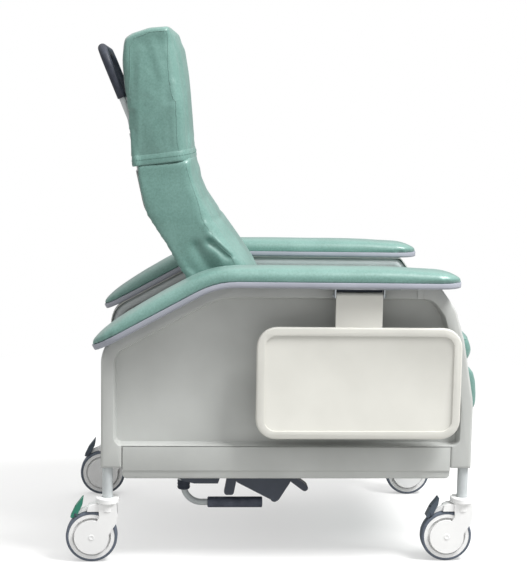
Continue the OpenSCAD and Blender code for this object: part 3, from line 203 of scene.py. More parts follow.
@dataclass(frozen=True)
class SewnVinyl(Finish):
    """Healthcare vinyl: PVC on a knit, embossed with a fine leather grain and calendered to a low sheen."""

    dark: str = "#5b8178"
    light: str = "#749a92"
    grain_mm: float = 1.6
    heather_mm: float = 5.0
    cloud_mm: float = 90.0

    def dress(self, tree: bpy.types.NodeTree, shader: bpy.types.Node) -> None:
        """Mottles the colour as the print under the grain does, and embosses the grain."""
        place = add_node(tree, "ShaderNodeTexCoord")
        spot = place.outputs["Object"]
        # The print is a heathered two-tone green, so small flecks ride on slow clouds.
        fleck = add_node(tree, "ShaderNodeTexNoise", Vector=spot, Scale=per_metre(self.heather_mm), Detail=4.0,
                         Roughness=0.7)
        cloud = add_node(tree, "ShaderNodeTexNoise", Vector=spot, Scale=per_metre(self.cloud_mm), Detail=3.0)
        both = add_node(tree, "ShaderNodeMix", {"data_type": "FLOAT"}, at_0=0.35,
                        at_2=fleck.outputs["Fac"], at_3=cloud.outputs["Fac"])
        self.tint(tree, shader, both.outputs[0], self.dark, self.light, 0.33, 0.67)
        # The embossed grain is finer than a pixel, so it is drawn at its coarsest pebble size.
        pebble = add_node(tree, "ShaderNodeTexVoronoi", {"feature": "SMOOTH_F1"}, Vector=spot,
                          Scale=per_metre(self.grain_mm))
        pucker = add_node(tree, "ShaderNodeTexNoise", Vector=spot, Scale=per_metre(28.0), Detail=2.0)
        grain = add_node(tree, "ShaderNodeBump", Strength=0.22, Distance=0.35 * MM,
                         Height=pebble.outputs["Distance"])
        soft = add_node(tree, "ShaderNodeBump", Strength=0.25, Distance=1.6 * MM, Height=pucker.outputs["Fac"],
                        Normal=grain.outputs["Normal"])
        tree.links.new(soft.outputs["Normal"], shader.inputs["Normal"])
        wear = add_node(tree, "ShaderNodeMapRange", Value=cloud.outputs["Fac"], To_Min=self.roughness - 0.06,
                        To_Max=self.roughness + 0.08)
        tree.links.new(wear.outputs["Result"], shader.inputs["Roughness"])
        # The topcoat that lets it be wiped down lays a pale gloss over the grain.
        shader.inputs["Coat Weight"].default_value = 0.6
        shader.inputs["Coat Roughness"].default_value = 0.35
        shader.inputs["Sheen Weight"].default_value = 0.1
        shader.inputs["Sheen Roughness"].default_value = 0.45


@dataclass(frozen=True)
class MouldedPlastic(Finish):
    """Injection moulded ABS or polypropylene with a spark-eroded texture, which blurs its reflections."""

    grain_mm: float = 1.2
    grain_depth_mm: float = 0.08
    dark: str = ""
    light: str = ""

    def dress(self, tree: bpy.types.NodeTree, shader: bpy.types.Node) -> None:
        """Adds the eroded texture and the faint flow marks of a moulding."""
        place = add_node(tree, "ShaderNodeTexCoord")
        spot = place.outputs["Object"]
        flow = add_node(tree, "ShaderNodeTexNoise", Vector=spot, Scale=per_metre(140.0), Detail=3.0)
        self.tint(tree, shader, flow.outputs["Fac"], self.dark or self.colour, self.light or self.colour)
        grit = add_node(tree, "ShaderNodeTexNoise", Vector=spot, Scale=per_metre(self.grain_mm), Detail=3.0,
                        Roughness=0.6)
        bump = add_node(tree, "ShaderNodeBump", Strength=0.3, Distance=self.grain_depth_mm * MM,
                        Height=grit.outputs["Fac"])
        tree.links.new(bump.outputs["Normal"], shader.inputs["Normal"])
        polish = add_node(tree, "ShaderNodeMapRange", Value=flow.outputs["Fac"],
                          To_Min=self.roughness - 0.04, To_Max=self.roughness + 0.05)
        tree.links.new(polish.outputs["Result"], shader.inputs["Roughness"])


@dataclass(frozen=True)
class PowderCoat(Finish):
    """Steel under baked polyester powder, with the slight orange peel that the powder leaves."""

    peel_mm: float = 2.4
    dark: str = ""

    def dress(self, tree: bpy.types.NodeTree, shader: bpy.types.Node) -> None:
        """Adds the orange peel and a thin scatter of dust."""
        place = add_node(tree, "ShaderNodeTexCoord")
        spot = place.outputs["Object"]
        dust = add_node(tree, "ShaderNodeTexNoise", Vector=spot, Scale=per_metre(60.0), Detail=5.0, Roughness=0.65)
        self.tint(tree, shader, dust.outputs["Fac"], self.dark or self.colour, self.colour)
        peel = add_node(tree, "ShaderNodeTexNoise", Vector=spot, Scale=per_metre(self.peel_mm), Detail=1.0)
        bump = add_node(tree, "ShaderNodeBump", Strength=0.25, Distance=0.06 * MM, Height=peel.outputs["Fac"])
        tree.links.new(bump.outputs["Normal"], shader.inputs["Normal"])
        shader.inputs["Coat Weight"].default_value = 0.15


@dataclass(frozen=True)
class ZincPlate(Finish):
    """Rolled steel with bright zinc plating, brushed along its length by handling."""

    brush_mm: float = 0.9

    def dress(self, tree: bpy.types.NodeTree, shader: bpy.types.Node) -> None:
        """Adds fine drawn lines and cloudy passivation."""
        place = add_node(tree, "ShaderNodeTexCoord")
        cloud = add_node(tree, "ShaderNodeTexNoise", Vector=place.outputs["Object"], Scale=per_metre(25.0), Detail=4.0)
        self.tint(tree, shader, cloud.outputs["Fac"], "#8d9296", self.colour)
        stretch = add_node(tree, "ShaderNodeMapping", Vector=place.outputs["Object"], Scale=(1.0, 0.08, 1.0))
        line = add_node(tree, "ShaderNodeTexNoise", Vector=stretch.outputs["Vector"],
                        Scale=per_metre(self.brush_mm), Detail=2.0)
        bump = add_node(tree, "ShaderNodeBump", Strength=0.2, Distance=0.05 * MM, Height=line.outputs["Fac"])
        tree.links.new(bump.outputs["Normal"], shader.inputs["Normal"])


@dataclass(frozen=True)
class CellFoam(Finish):
    """Closed-cell nitrile foam, pushed on as a sleeve; its cut cells make it matt and finely pitted."""

    light: str = "#3a3f4b"
    cell_mm: float = 1.3

    def dress(self, tree: bpy.types.NodeTree, shader: bpy.types.Node) -> None:
        """Pits the surface with cells and dusts it slightly."""
        place = add_node(tree, "ShaderNodeTexCoord")
        cells = add_node(tree, "ShaderNodeTexVoronoi", Vector=place.outputs["Object"], Scale=per_metre(self.cell_mm))
        cloud = add_node(tree, "ShaderNodeTexNoise", Vector=place.outputs["Object"], Scale=per_metre(20.0), Detail=4.0)
        self.tint(tree, shader, cloud.outputs["Fac"], self.colour, self.light)
        bump = add_node(tree, "ShaderNodeBump", Strength=0.5, Distance=0.25 * MM, Height=cells.outputs["Distance"])
        tree.links.new(bump.outputs["Normal"], shader.inputs["Normal"])


@dataclass(frozen=True)
class TreadRubber(Finish):
    """Thermoplastic rubber moulded on a wheel: semi-matt, scuffed lighter where it rolls."""

    scuffed: str = "#707885"

    def dress(self, tree: bpy.types.NodeTree, shader: bpy.types.Node) -> None:
        """Adds scuffs and a fine moulded skin."""
        place = add_node(tree, "ShaderNodeTexCoord")
        scuff = add_node(tree, "ShaderNodeTexNoise", Vector=place.outputs["Object"], Scale=per_metre(9.0), Detail=6.0,
                         Roughness=0.7)
        self.tint(tree, shader, scuff.outputs["Fac"], self.colour, self.scuffed, 0.4, 0.85)
        skin = add_node(tree, "ShaderNodeTexNoise", Vector=place.outputs["Object"], Scale=per_metre(1.1), Detail=2.0)
        bump = add_node(tree, "ShaderNodeBump", Strength=0.25, Distance=0.1 * MM, Height=skin.outputs["Fac"])
        tree.links.new(bump.outputs["Normal"], shader.inputs["Normal"])


@dataclass(frozen=True)
class Plywood(Finish):
    """Birch plywood, sanded and left bare under the cushions, with long faint grain."""

    grain_mm: float = 6.0

    def dress(self, tree: bpy.types.NodeTree, shader: bpy.types.Node) -> None:
        """Draws the grain along the width of the board."""
        place = add_node(tree, "ShaderNodeTexCoord")
        stretch = add_node(tree, "ShaderNodeMapping", Vector=place.outputs["Object"], Scale=(0.06, 1.0, 1.0))
        grain = add_node(tree, "ShaderNodeTexNoise", Vector=stretch.outputs["Vector"],
                         Scale=per_metre(self.grain_mm), Detail=6.0, Roughness=0.65)
        self.tint(tree, shader, grain.outputs["Fac"], "#8f7a5e", self.colour)
        bump = add_node(tree, "ShaderNodeBump", Strength=0.3, Distance=0.15 * MM, Height=grain.outputs["Fac"])
        tree.links.new(bump.outputs["Normal"], shader.inputs["Normal"])


VINYL = SewnVinyl("sage_healthcare_vinyl", "#698f87", "vinyl", roughness=0.4)
COVER_VINYL = SewnVinyl("head_cover_vinyl", "#678e86", "vinyl", roughness=0.42, dark="#5a8077", light="#739890")
THREAD = Finish("polyester_thread_sage", "#5c8077", "vinyl", roughness=0.6)
PANEL = MouldedPlastic("warm_grey_moulded_abs", "#b9bbb8", "panel_plastic", roughness=0.5,
                       dark="#b4b6b3", light="#bfc1be")
ARM_SHELL = MouldedPlastic("lavender_grey_moulded_abs", "#9da0aa", "arm_plastic", roughness=0.42,
                           dark="#989ba5", light="#a3a6b0")
TRAY = MouldedPlastic("warm_white_moulded_abs", "#d3d2cb", "tray_plastic", roughness=0.42, grain_mm=1.0,
                      dark="#cfcec7", light="#d7d6cf")
NYLON = MouldedPlastic("white_moulded_nylon", "#f2f2f1", "caster_plastic", roughness=0.32, grain_mm=1.0,
                       grain_depth_mm=0.04, dark="#eeeeee", light="#f5f5f4")
PEDAL_GREEN = MouldedPlastic("green_moulded_nylon", "#2f7f68", "pedal_green", roughness=0.4, dark="#2a7560",
                             light="#348871")
PEDAL_DARK = MouldedPlastic("slate_moulded_nylon", "#4b5560", "pedal_dark", roughness=0.4, dark="#454f5a",
                            light="#525c67")
TREAD = TreadRubber("slate_tread_rubber", "#59616d", "tread", roughness=0.6)
BOOT = TreadRubber("navy_moulded_rubber", "#232a38", "tread", roughness=0.5, scuffed="#2f3747")
TUBE = PowderCoat("pale_grey_powder_coat", "#c3c8c9", "tube_steel", roughness=0.38, dark="#bbc0c1")
DARK_STEEL = PowderCoat("slate_powder_coat", "#464d5a", "dark_metal", roughness=0.42, dark="#3f4551")
ZINC = ZincPlate("bright_zinc_plate", "#b9bec2", "bright_steel", roughness=0.34, metallic=1.0, ior=1.5)
FOAM = CellFoam("slate_foam_sleeve", "#262a34", "foam", roughness=0.55)
FOOT_FOAM = CellFoam("slate_foot_sleeve", "#404552", "foam", roughness=0.5, light="#555b69")
BOARD = Plywood("bare_birch_plywood", "#ae997a", "board", roughness=0.62)


# ---------------------------------------------------------------------------------------------
# Mesh helpers
# ---------------------------------------------------------------------------------------------


def link(name: str, mesh: bpy.types.Mesh, finish: Finish) -> bpy.types.Object:
    """Makes an object from a mesh, with one material.

    Args:
        name: Object name.
        mesh: Its mesh, in place in the row frame.
        finish: Finish of all its faces.

    Returns:
        The object, linked to the scene.
    """
    piece = bpy.data.objects.new(name, mesh)
    bpy.context.scene.collection.objects.link(piece)
    mesh.materials.clear()
    mesh.materials.append(finish.build())
    return piece


def settled(bm: bmesh.types.BMesh, name: str) -> bpy.types.Mesh:
    """Writes an edit mesh to a new mesh and frees it.

    Args:
        bm: The edit mesh.
        name: Name of the new mesh.

    Returns:
        The new mesh.
    """
    mesh = bpy.data.meshes.new(name)
    bm.to_mesh(mesh)
    bm.free()
    return mesh


def smooth(mesh: bpy.types.Mesh, angle_deg: float = 32.0) -> None:
    """Shades a mesh smooth, with sharp edges above an angle.

    Args:
        mesh: Mesh to shade.
        angle_deg: Least angle of a sharp edge.
    """
    bm = bmesh.new()
    bm.from_mesh(mesh)
    for face in bm.faces:
        face.smooth = True
    for edge in bm.edges:
        sharp = len(edge.link_faces) == 2 and edge.calc_face_angle(0.0) > math.radians(angle_deg)
        edge.smooth = not sharp
    bm.to_mesh(mesh)
    bm.free()


def copy_of(node: str, weld: float = 0.02 * MM) -> bmesh.types.BMesh:
    """Copies a CAD node's mesh and welds its seams.

    Args:
        node: Name of the node.
        weld: Distance under which vertices join.

    Returns:
        The welded copy.
    """
    bm = bmesh.new()
    bm.from_mesh(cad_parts[node].data)
    bmesh.ops.remove_doubles(bm, verts=bm.verts, dist=weld)
    return bm


def tube_mesh(name: str, points: Sequence[Vector], radius: float, sides: int = 8,
              closed: bool = False) -> bpy.types.Mesh:
    """Sweeps a round section along a line of points.

    Args:
        name: Mesh name.
        points: Points of the line.
        radius: Radius of the section.
        sides: Points of the section.
        closed: Whether the line is a loop.

    Returns:
        The swept mesh, capped if it is open.
    """
    bm = bmesh.new()
    count = len(points)
    rings: list[list[bmesh.types.BMVert]] = []
    up = Vector((0.0, 0.0, 1.0))
    for i, point in enumerate(points):
        before = points[(i - 1) % count] if closed or i else point
        after = points[(i + 1) % count] if closed or i < count - 1 else point
        way = (after - before).normalized()
        across = way.cross(up)
        if across.length < 0.2:
            across = way.cross(Vector((0.0, 1.0, 0.0)))
        across.normalize()
        lift = across.cross(way)
        rings.append([bm.verts.new(point + radius * (math.cos(a) * across + math.sin(a) * lift))
                      for a in (2 * math.pi * k / sides for k in range(sides))])
    last = count if closed else count - 1
    for i in range(last):
        here, there = rings[i], rings[(i + 1) % count]
        for k in range(sides):
            bm.faces.new((here[k], here[(k + 1) % sides], there[(k + 1) % sides], there[k]))
    if not closed:
        bm.faces.new(rings[0][::-1])
        bm.faces.new(rings[-1])
    bmesh.ops.recalc_face_normals(bm, faces=bm.faces)
    mesh = settled(bm, name)
    smooth(mesh, 50.0)
    return mesh


def turned(name: str, profile: Sequence[tuple[float, float]], centre: Vector, axis: Vector,
           steps: int = 32) -> bpy.types.Mesh:
    """Turns a profile about an axis.

    Args:
        name: Mesh name.
        profile: Radius and height pairs in millimetres, from the bottom up.
        centre: Point on the axis at height zero.
        axis: Direction of the heights.
        steps: Facets round the axis.

    Returns:
        The turned mesh.
    """
    frame_of = axis.to_track_quat("Z", "Y").to_matrix()
    bm = bmesh.new()
    rings = [[bm.verts.new(centre + frame_of @ Vector((r * math.cos(a), r * math.sin(a), h)) * MM)
              for a in (2 * math.pi * k / steps for k in range(steps))] for r, h in profile]
    for lower, upper in zip(rings, rings[1:]):
        for k in range(steps):
            bm.faces.new((lower[k], lower[(k + 1) % steps], upper[(k + 1) % steps], upper[k]))
    bm.faces.new(rings[0][::-1])
    bm.faces.new(rings[-1])
    bmesh.ops.remove_doubles(bm, verts=bm.verts, dist=0.001 * MM)
    mesh = settled(bm, name)
    smooth(mesh, 40.0)
    return mesh


def joined(name: str, meshes: Iterable[bpy.types.Mesh]) -> bpy.types.Mesh:
    """Joins meshes to one.

    Args:
        name: Name of the joined mesh.
        meshes: Meshes to join, each in place.

    Returns:
        The joined mesh.
    """
    bm = bmesh.new()
    for mesh in meshes:
        bm.from_mesh(mesh)
    whole = settled(bm, name)
    smooth(whole, 40.0)
    return whole


def spaced(points: Sequence[Vector], step: float, closed: bool = False) -> list[Vector]:
    """Resamples a line at even steps.

    Args:
        points: Points of the line.
        step: Distance between new points.
        closed: Whether the line is a loop.

    Returns:
        The new points.
    """
    line = list(points) + ([points[0]] if closed else [])
    lengths = [0.0]
    for a, b in zip(line, line[1:]):
        lengths.append(lengths[-1] + (b - a).length)
    count = max(2, round(lengths[-1] / step))
    out: list[Vector] = []
    k = 0
    for i in range(count + (0 if closed else 1)):
        want = lengths[-1] * i / count
        while k < len(line) - 2 and lengths[k + 1] < want:
            k += 1
        span = lengths[k + 1] - lengths[k]
        out.append(line[k].lerp(line[k + 1], (want - lengths[k]) / span if span else 0.0))
    return out


# ---------------------------------------------------------------------------------------------
# Upholstery
# ---------------------------------------------------------------------------------------------


# How far a cover's top is raised under the piece above it, and the height over which that fades out.
TUCK_RISE = 9 * MM
TUCK_FADE = 30 * MM
# Farthest that the cloth may slide along the foam.
SLIP = 1 * MM
# Slow unevenness of hand-stretched vinyl: its height, and its waves per metre.
UNEVEN = 0.6 * MM
UNEVEN_PER_METRE = 14.0
CLOTH_FRAMES = 20
# A supported vinyl: stiff in its plane, and soft enough to bend over foam.
CLOTH_SETTINGS = {"quality": 5, "mass": 0.3, "tension_stiffness": 12, "compression_stiffness": 12,
                  "shear_stiffness": 6, "bending_stiffness": 0.6, "use_pressure": True}
# Share of the way back to the CAD skin after the voxel mesh is evened.
BACK_TO_SKIN = 0.85


@dataclass
class Padding:
    """A foam piece in a sewn cover, swollen from the space that its CAD solid holds.

    Attributes:
        node: CAD node that the piece replaces.
        body: Body that it rides on.
        finish: Finish of the cover.
        backing: Test for points that lie on the board or tubes behind the piece and stay there.
        voxel: Size of the even mesh.
        shrink: How far the cover is drawn in before it is blown up.
        pressure: Pressure in the cover.
        cap: Farthest that the cloth may stand over the CAD skin.
        dip: Farthest that the cloth may lie under it.
        keep: Share of the cloth's unevenness that is kept.
        fill: Fullness of the piece; not used.
        crease: Height of the cover's folds at a point.
        full: How far a front face is drawn forward.
        tuck: Height of the cover's top, if it is raised under the piece above.
        lip: X beyond which the backing is drawn rearwards, if it is.
        lip_out: How far it is drawn.
        name: Name of the piece, if it isn't the node's with an ending.
    """

    node: str
    body: str
    finish: Finish
    backing: Callable[[Vector], bool]
    voxel: float = 7 * MM
    shrink: float = 3 * MM
    pressure: float = 4.0
    cap: float = 2.5 * MM
    dip: float = 1 * MM
    keep: float = 0.35
    fill: float = 0.75
    crease: Optional[Callable[[Vector], float]] = None
    full: float = 0.0
    tuck: float = 0.0
    lip: float = 0.0
    lip_out: float = 4 * MM
    name: str = ""
    piece: Optional[bpy.types.Object] = None
    tree: Optional[BVHTree] = None

    def start_mesh(self) -> bpy.types.Mesh:
        """Remeshes the CAD solid evenly, on its own skin.

        Returns:
            The evenly meshed start shape.
        """
        rough = settled(copy_of(self.node), self.node + "_rough")
        holder = bpy.data.objects.new(self.node + "_rough", rough)
        bpy.context.scene.collection.objects.link(holder)
        remesh = holder.modifiers.new("even", "REMESH")
        remesh.mode = "VOXEL"
        remesh.voxel_size = self.voxel
        graph = bpy.context.evaluated_depsgraph_get()
        even = bpy.data.meshes.new_from_object(holder.evaluated_get(graph))
        bpy.data.objects.remove(holder)
        ease(even, 4, self.backing)
        skin = BVHTree.FromPolygons([v.co for v in rough.vertices], [list(p.vertices) for p in rough.polygons])
        for vertex in even.vertices:
            if not self.backing(vertex.co):
                vertex.co = vertex.co.lerp(skin.find_nearest(vertex.co)[0], BACK_TO_SKIN)
            elif self.lip and abs(vertex.co.x) > self.lip:
                vertex.co.y += self.lip_out
            if self.tuck and vertex.co.z > self.tuck - TUCK_FADE:
                vertex.co.z += TUCK_RISE * min(1.0, (vertex.co.z - self.tuck) / TUCK_FADE + 1.0)
        ease(even, 1, self.backing)
        return even

    def blown_up(self, holder: bpy.types.Object, backed: Sequence[bool]) -> list[Vector]:
        """Blows a cover up with Blender's cloth, with its backing held.

        Args:
            holder: Object whose mesh is the drawn-in cover.
            backed: Whether each vertex lies on the backing.

        Returns:
            Where the cloth takes each vertex.
        """
        held = holder.vertex_groups.new(name="held")
        held.add([i for i, is_backed in enumerate(backed) if is_backed], 1.0, "REPLACE")
        cloth = holder.modifiers.new("cover", "CLOTH")
        for key, value in CLOTH_SETTINGS.items():
            setattr(cloth.settings, key, value)
        cloth.settings.uniform_pressure_force = self.pressure
        cloth.settings.vertex_group_mass = "held"
        cloth.settings.effector_weights.gravity = 0.0
        cloth.collision_settings.use_collision = False
        for step in range(1, CLOTH_FRAMES + 1):
            bpy.context.scene.frame_set(step)
        shown = holder.evaluated_get(bpy.context.evaluated_depsgraph_get())
        moved = [v.co.copy() for v in shown.to_mesh().vertices]
        shown.to_mesh_clear()
        holder.modifiers.remove(cloth)
        holder.vertex_groups.remove(held)
        bpy.context.scene.frame_set(1)
        return moved

    def swell(self, holder: bpy.types.Object) -> None:
        """Draws the cover in, blows it up, and lays the cloth's unevenness on the CAD skin.

        Args:
            holder: Object whose mesh is swollen.
        """
        mesh = holder.data
        full = [v.co.copy() for v in mesh.vertices]
        normals = [v.normal.copy() for v in mesh.vertices]
        backed = [self.backing(v.co) for v in mesh.vertices]
        for vertex, normal, is_backed in zip(mesh.vertices, normals, backed):
            if not is_backed:
                vertex.co -= normal * self.shrink
        rest = [v.co.copy() for v in mesh.vertices]
        ways = [end - start for start, end in zip(rest, self.blown_up(holder, backed))]
        outs = [way.dot(normal) for way, normal in zip(ways, normals)]
        free = [out for out, is_backed in zip(outs, backed) if not is_backed]
        middle = sum(free) / len(free)
        for vertex, start, way, out, normal, is_backed in zip(mesh.vertices, full, ways, outs, normals, backed):
            vertex.co = start
            if not is_backed:
                along = way - normal * out
                along *= min(1.0, SLIP / max(along.length, 1e-9))
                vertex.co += along + normal * max(-self.dip, min(self.cap, self.keep * (out - middle)))

    def pucker(self, mesh: bpy.types.Mesh) -> None:
        """Moves the cover by its creases and a slow unevenness of hand-stretched vinyl.

        Args:
            mesh: Mesh to move.
        """
        normals = [v.normal.copy() for v in mesh.vertices]
        for vertex, normal in zip(mesh.vertices, normals):
            if self.backing(vertex.co):
                continue
            move = UNEVEN * noise(vertex.co * UNEVEN_PER_METRE)
            if self.crease is not None:
                move += self.crease(vertex.co)
            vertex.co += normal * move
            vertex.co.y += self.full * min(0.0, normal.y)

    def make(self) -> bpy.types.Object:
        """Returns:
            The padded piece.
        """
        mesh = self.start_mesh()
        self.piece = link(self.name or self.node + "_cover", mesh, self.finish)
        self.swell(self.piece)
        self.pucker(mesh)
        ease(mesh, 1, self.backing)
        for face in mesh.polygons:
            face.use_smooth = True
        finer = self.piece.modifiers.new("finer", "SUBSURF")
        finer.levels = finer.render_levels = 1
        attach(self.piece, self.body)
        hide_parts(self.node)
        self.tree = BVHTree.FromPolygons([v.co for v in mesh.vertices], [list(p.vertices) for p in mesh.polygons])
        log.info("%s: %d vertices", self.piece.name, len(mesh.vertices))
        return self.piece

    def on_cover(self, points: Sequence[Vector], lift: float) -> list[Vector]:
        """Drops points onto the cover.

        Args:
            points: Points near the cover.
            lift: Height above the cover.

        Returns:
            The points on the cover.
        """
        out: list[Vector] = []
        for point in points:
            spot, normal, _, _ = self.tree.find_nearest(point)
            out.append(spot + normal * lift)
        return out

    def ring(self, point: Vector, normal: Vector) -> list[Vector]:
        """Cuts the cover with a plane.

        Args:
            point: Point on the plane.
            normal: Normal of the plane.

        Returns:
            The longest loop of the cut, in order.
        """
        bm = bmesh.new()
        bm.from_mesh(self.piece.data)
        cut = bmesh.ops.bisect_plane(bm, geom=list(bm.verts) + list(bm.edges) + list(bm.faces), plane_co=point,
                                     plane_no=normal)["geom_cut"]
        edges = [g for g in cut if isinstance(g, bmesh.types.BMEdge)]
        bm.verts.index_update()
        near: dict[int, list[bmesh.types.BMVert]] = {}
        for edge in edges:
            a, b = edge.verts
            near.setdefault(a.index, []).append(b)
            near.setdefault(b.index, []).append(a)
        loops: list[list[Vector]] = []
        seen: set[int] = set()
        for start in near:
            if start in seen:
                continue
            loop = [start]
            seen.add(start)
            while True:
                onward = [v.index for v in near[loop[-1]] if v.index not in seen]
                if not onward:
                    break
                loop.append(onward[0])
                seen.add(onward[0])
            bm.verts.ensure_lookup_table()
            loops.append([bm.verts[i].co.copy() for i in loop])
        bm.free()
        return max(loops, key=len)


def ease(mesh: bpy.types.Mesh, rounds: int, held: Callable[[Vector], bool]) -> None:
    """Evens a mesh by moving each free vertex half way to the mean of its neighbours.

    Args:
        mesh: Mesh to even.
        rounds: Number of rounds.
        held: Test for points that stay.
    """
    bm = bmesh.new()
    bm.from_mesh(mesh)
    free = [v for v in bm.verts if not held(v.co)]
    for _ in range(rounds):
        bmesh.ops.smooth_vert(bm, verts=free, factor=0.5, use_axis_x=True, use_axis_y=True, use_axis_z=True)
    bm.to_mesh(mesh)
    bm.free()


def stitches(name: str, line: Sequence[Vector], closed: bool, pitch: float = 7 * MM, length: float = 4.6 * MM,
             radius: float = 0.55 * MM) -> bpy.types.Mesh:
    """Lays short threads along a line, as a lock stitch shows.

    Args:
        name: Mesh name.
        line: Points of the line, on the cover.
        closed: Whether the line is a loop.
        pitch: Distance from stitch to stitch.
        length: Length of a stitch.
        radius: Radius of the thread.

    Returns:
        One mesh of all the stitches.
    """
    spots = spaced(line, pitch, closed)
    made = []
    for i, spot in enumerate(spots):
        after = spots[(i + 1) % len(spots)]
        way = (after - spot)
        if way.length < 1e-6 or (not closed and i == len(spots) - 1):
            continue
        way = way.normalized() * length / 2
        made.append(tube_mesh(name + "_one", [spot - way, spot, spot + way], radius, 5))
    whole = joined(name, made)
    for mesh in made:
        bpy.data.meshes.remove(mesh)
    return whole


# Boxing seams of the back cushion and of the head cover on either side, as Y and Z in millimetres.
BACK_SEAM = ((70, 655), (84, 700), (103, 745), (127, 768), (153, 794), (171, 824), (177, 838), (187, 874),
             (203, 918), (216, 960))
HEAD_SEAM = ((222, 990), (236, 1004), (240, 1040), (243, 1085), (248, 1120), (258, 1165), (263, 1215),
             (262, 1262), (266, 1282), (305, 1277), (338, 1264), (350, 1244), (350, 1205), (348, 1165), (345, 1125),
             (342, 1081), (339, 1040), (335, 990))

# Folds and ridges of the covers: both ends as Y and Z, height (folds are negative) and half width, all in mm.
BACK_FOLDS = ((156, 780, 110, 743, -10.0, 7.0), (190, 768, 156, 716, -7.0, 14.0), (158, 797, 104, 752, 5.0, 5.0),
              (170, 824, 156, 795, 3.5, 6.0), (142, 762, 126, 728, 2.5, 8.0),
              (187, 945, 189, 968, -5.0, 9.0))
COVER_FOLDS = ((246, 1100, 250, 1160, 2.5, 7.0), (262, 1120, 268, 1210, -2.5, 9.0), (252, 1010, 256, 1075, -2.0, 7.0),
               (300, 1255, 276, 1180, 2.5, 10.0), (330, 1000, 328, 1240, 2.0, 6.0))
# X at which the folds start and over which they grow, and the share that they lose along their length.
FOLDS_FROM_X, FOLDS_FADE_X, FOLD_TAPER = 0.2, 0.05, 0.35


def folded(p: Vector, folds: Sequence[tuple[float, ...]]) -> float:
    """Height of a cover's folds at a point of its side, in metres along the normal.

    Args:
        p: Point of the cover.
        folds: Table of folds.

    Returns:
        How far the cover stands out there.
    """
    side = max(0.0, min(1.0, (abs(p.x) - FOLDS_FROM_X) / FOLDS_FADE_X))
    if side == 0.0:
        return 0.0
    total = 0.0
    for y0, z0, y1, z1, height, wide in folds:
        start, end, spot = Vector((y0, z0)), Vector((y1, z1)), Vector((p.y, p.z)) / MM
        along = end - start
        share = max(0.0, min(1.0, (spot - start).dot(along) / along.length_squared))
        off = (spot - start - along * share).length
        total += height * MM * math.exp(-(off / wide) ** 2) * (1.0 - FOLD_TAPER * share)
    return total * side


def crowned(p: Vector, middle: float, half: float, rise: float) -> float:
    """How far the side of a stuffed cushion stands out at a height, in metres along the normal.

    Args:
        p: Point of the cover.
        middle: Height of the fullest place.
        half: Height from there to where the side is drawn in as far as it stands out.
        rise: How far it stands out.

    Returns:
        The rise, less than nought near the ends.
    """
    inner_x, top_fade, deepest = 0.23, 30 * MM, -1.5
    if abs(p.x) < inner_x:
        return 0.0
    fade = max(0.0, min(1.0, (middle + half - p.z) / top_fade))
    return rise * fade * max(deepest, 1.0 - 2.0 * ((p.z - middle) / half) ** 2)


def back_creases(p: Vector) -> float:
    """Folds that run down from the corner of the back cushion's seam, and the fullness of its side."""
    return folded(p, BACK_FOLDS) + crowned(p, middle=0.84, half=0.12, rise=2 * MM)


def cover_creases(p: Vector) -> float:
    """Slack of the head cover, which is pulled over the cushion, and the fullness of its side."""
    return folded(p, COVER_FOLDS) + crowned(p, middle=1.12, half=0.16, rise=6 * MM)


def arm_nose(p: Vector) -> float:
    """Fullness of an arm pad behind its front end, in metres along the normal."""
    rise, fullest_y, wide = 4.5 * MM, -0.405, 0.045
    return rise * math.exp(-((p.y - fullest_y) / wide) ** 2)


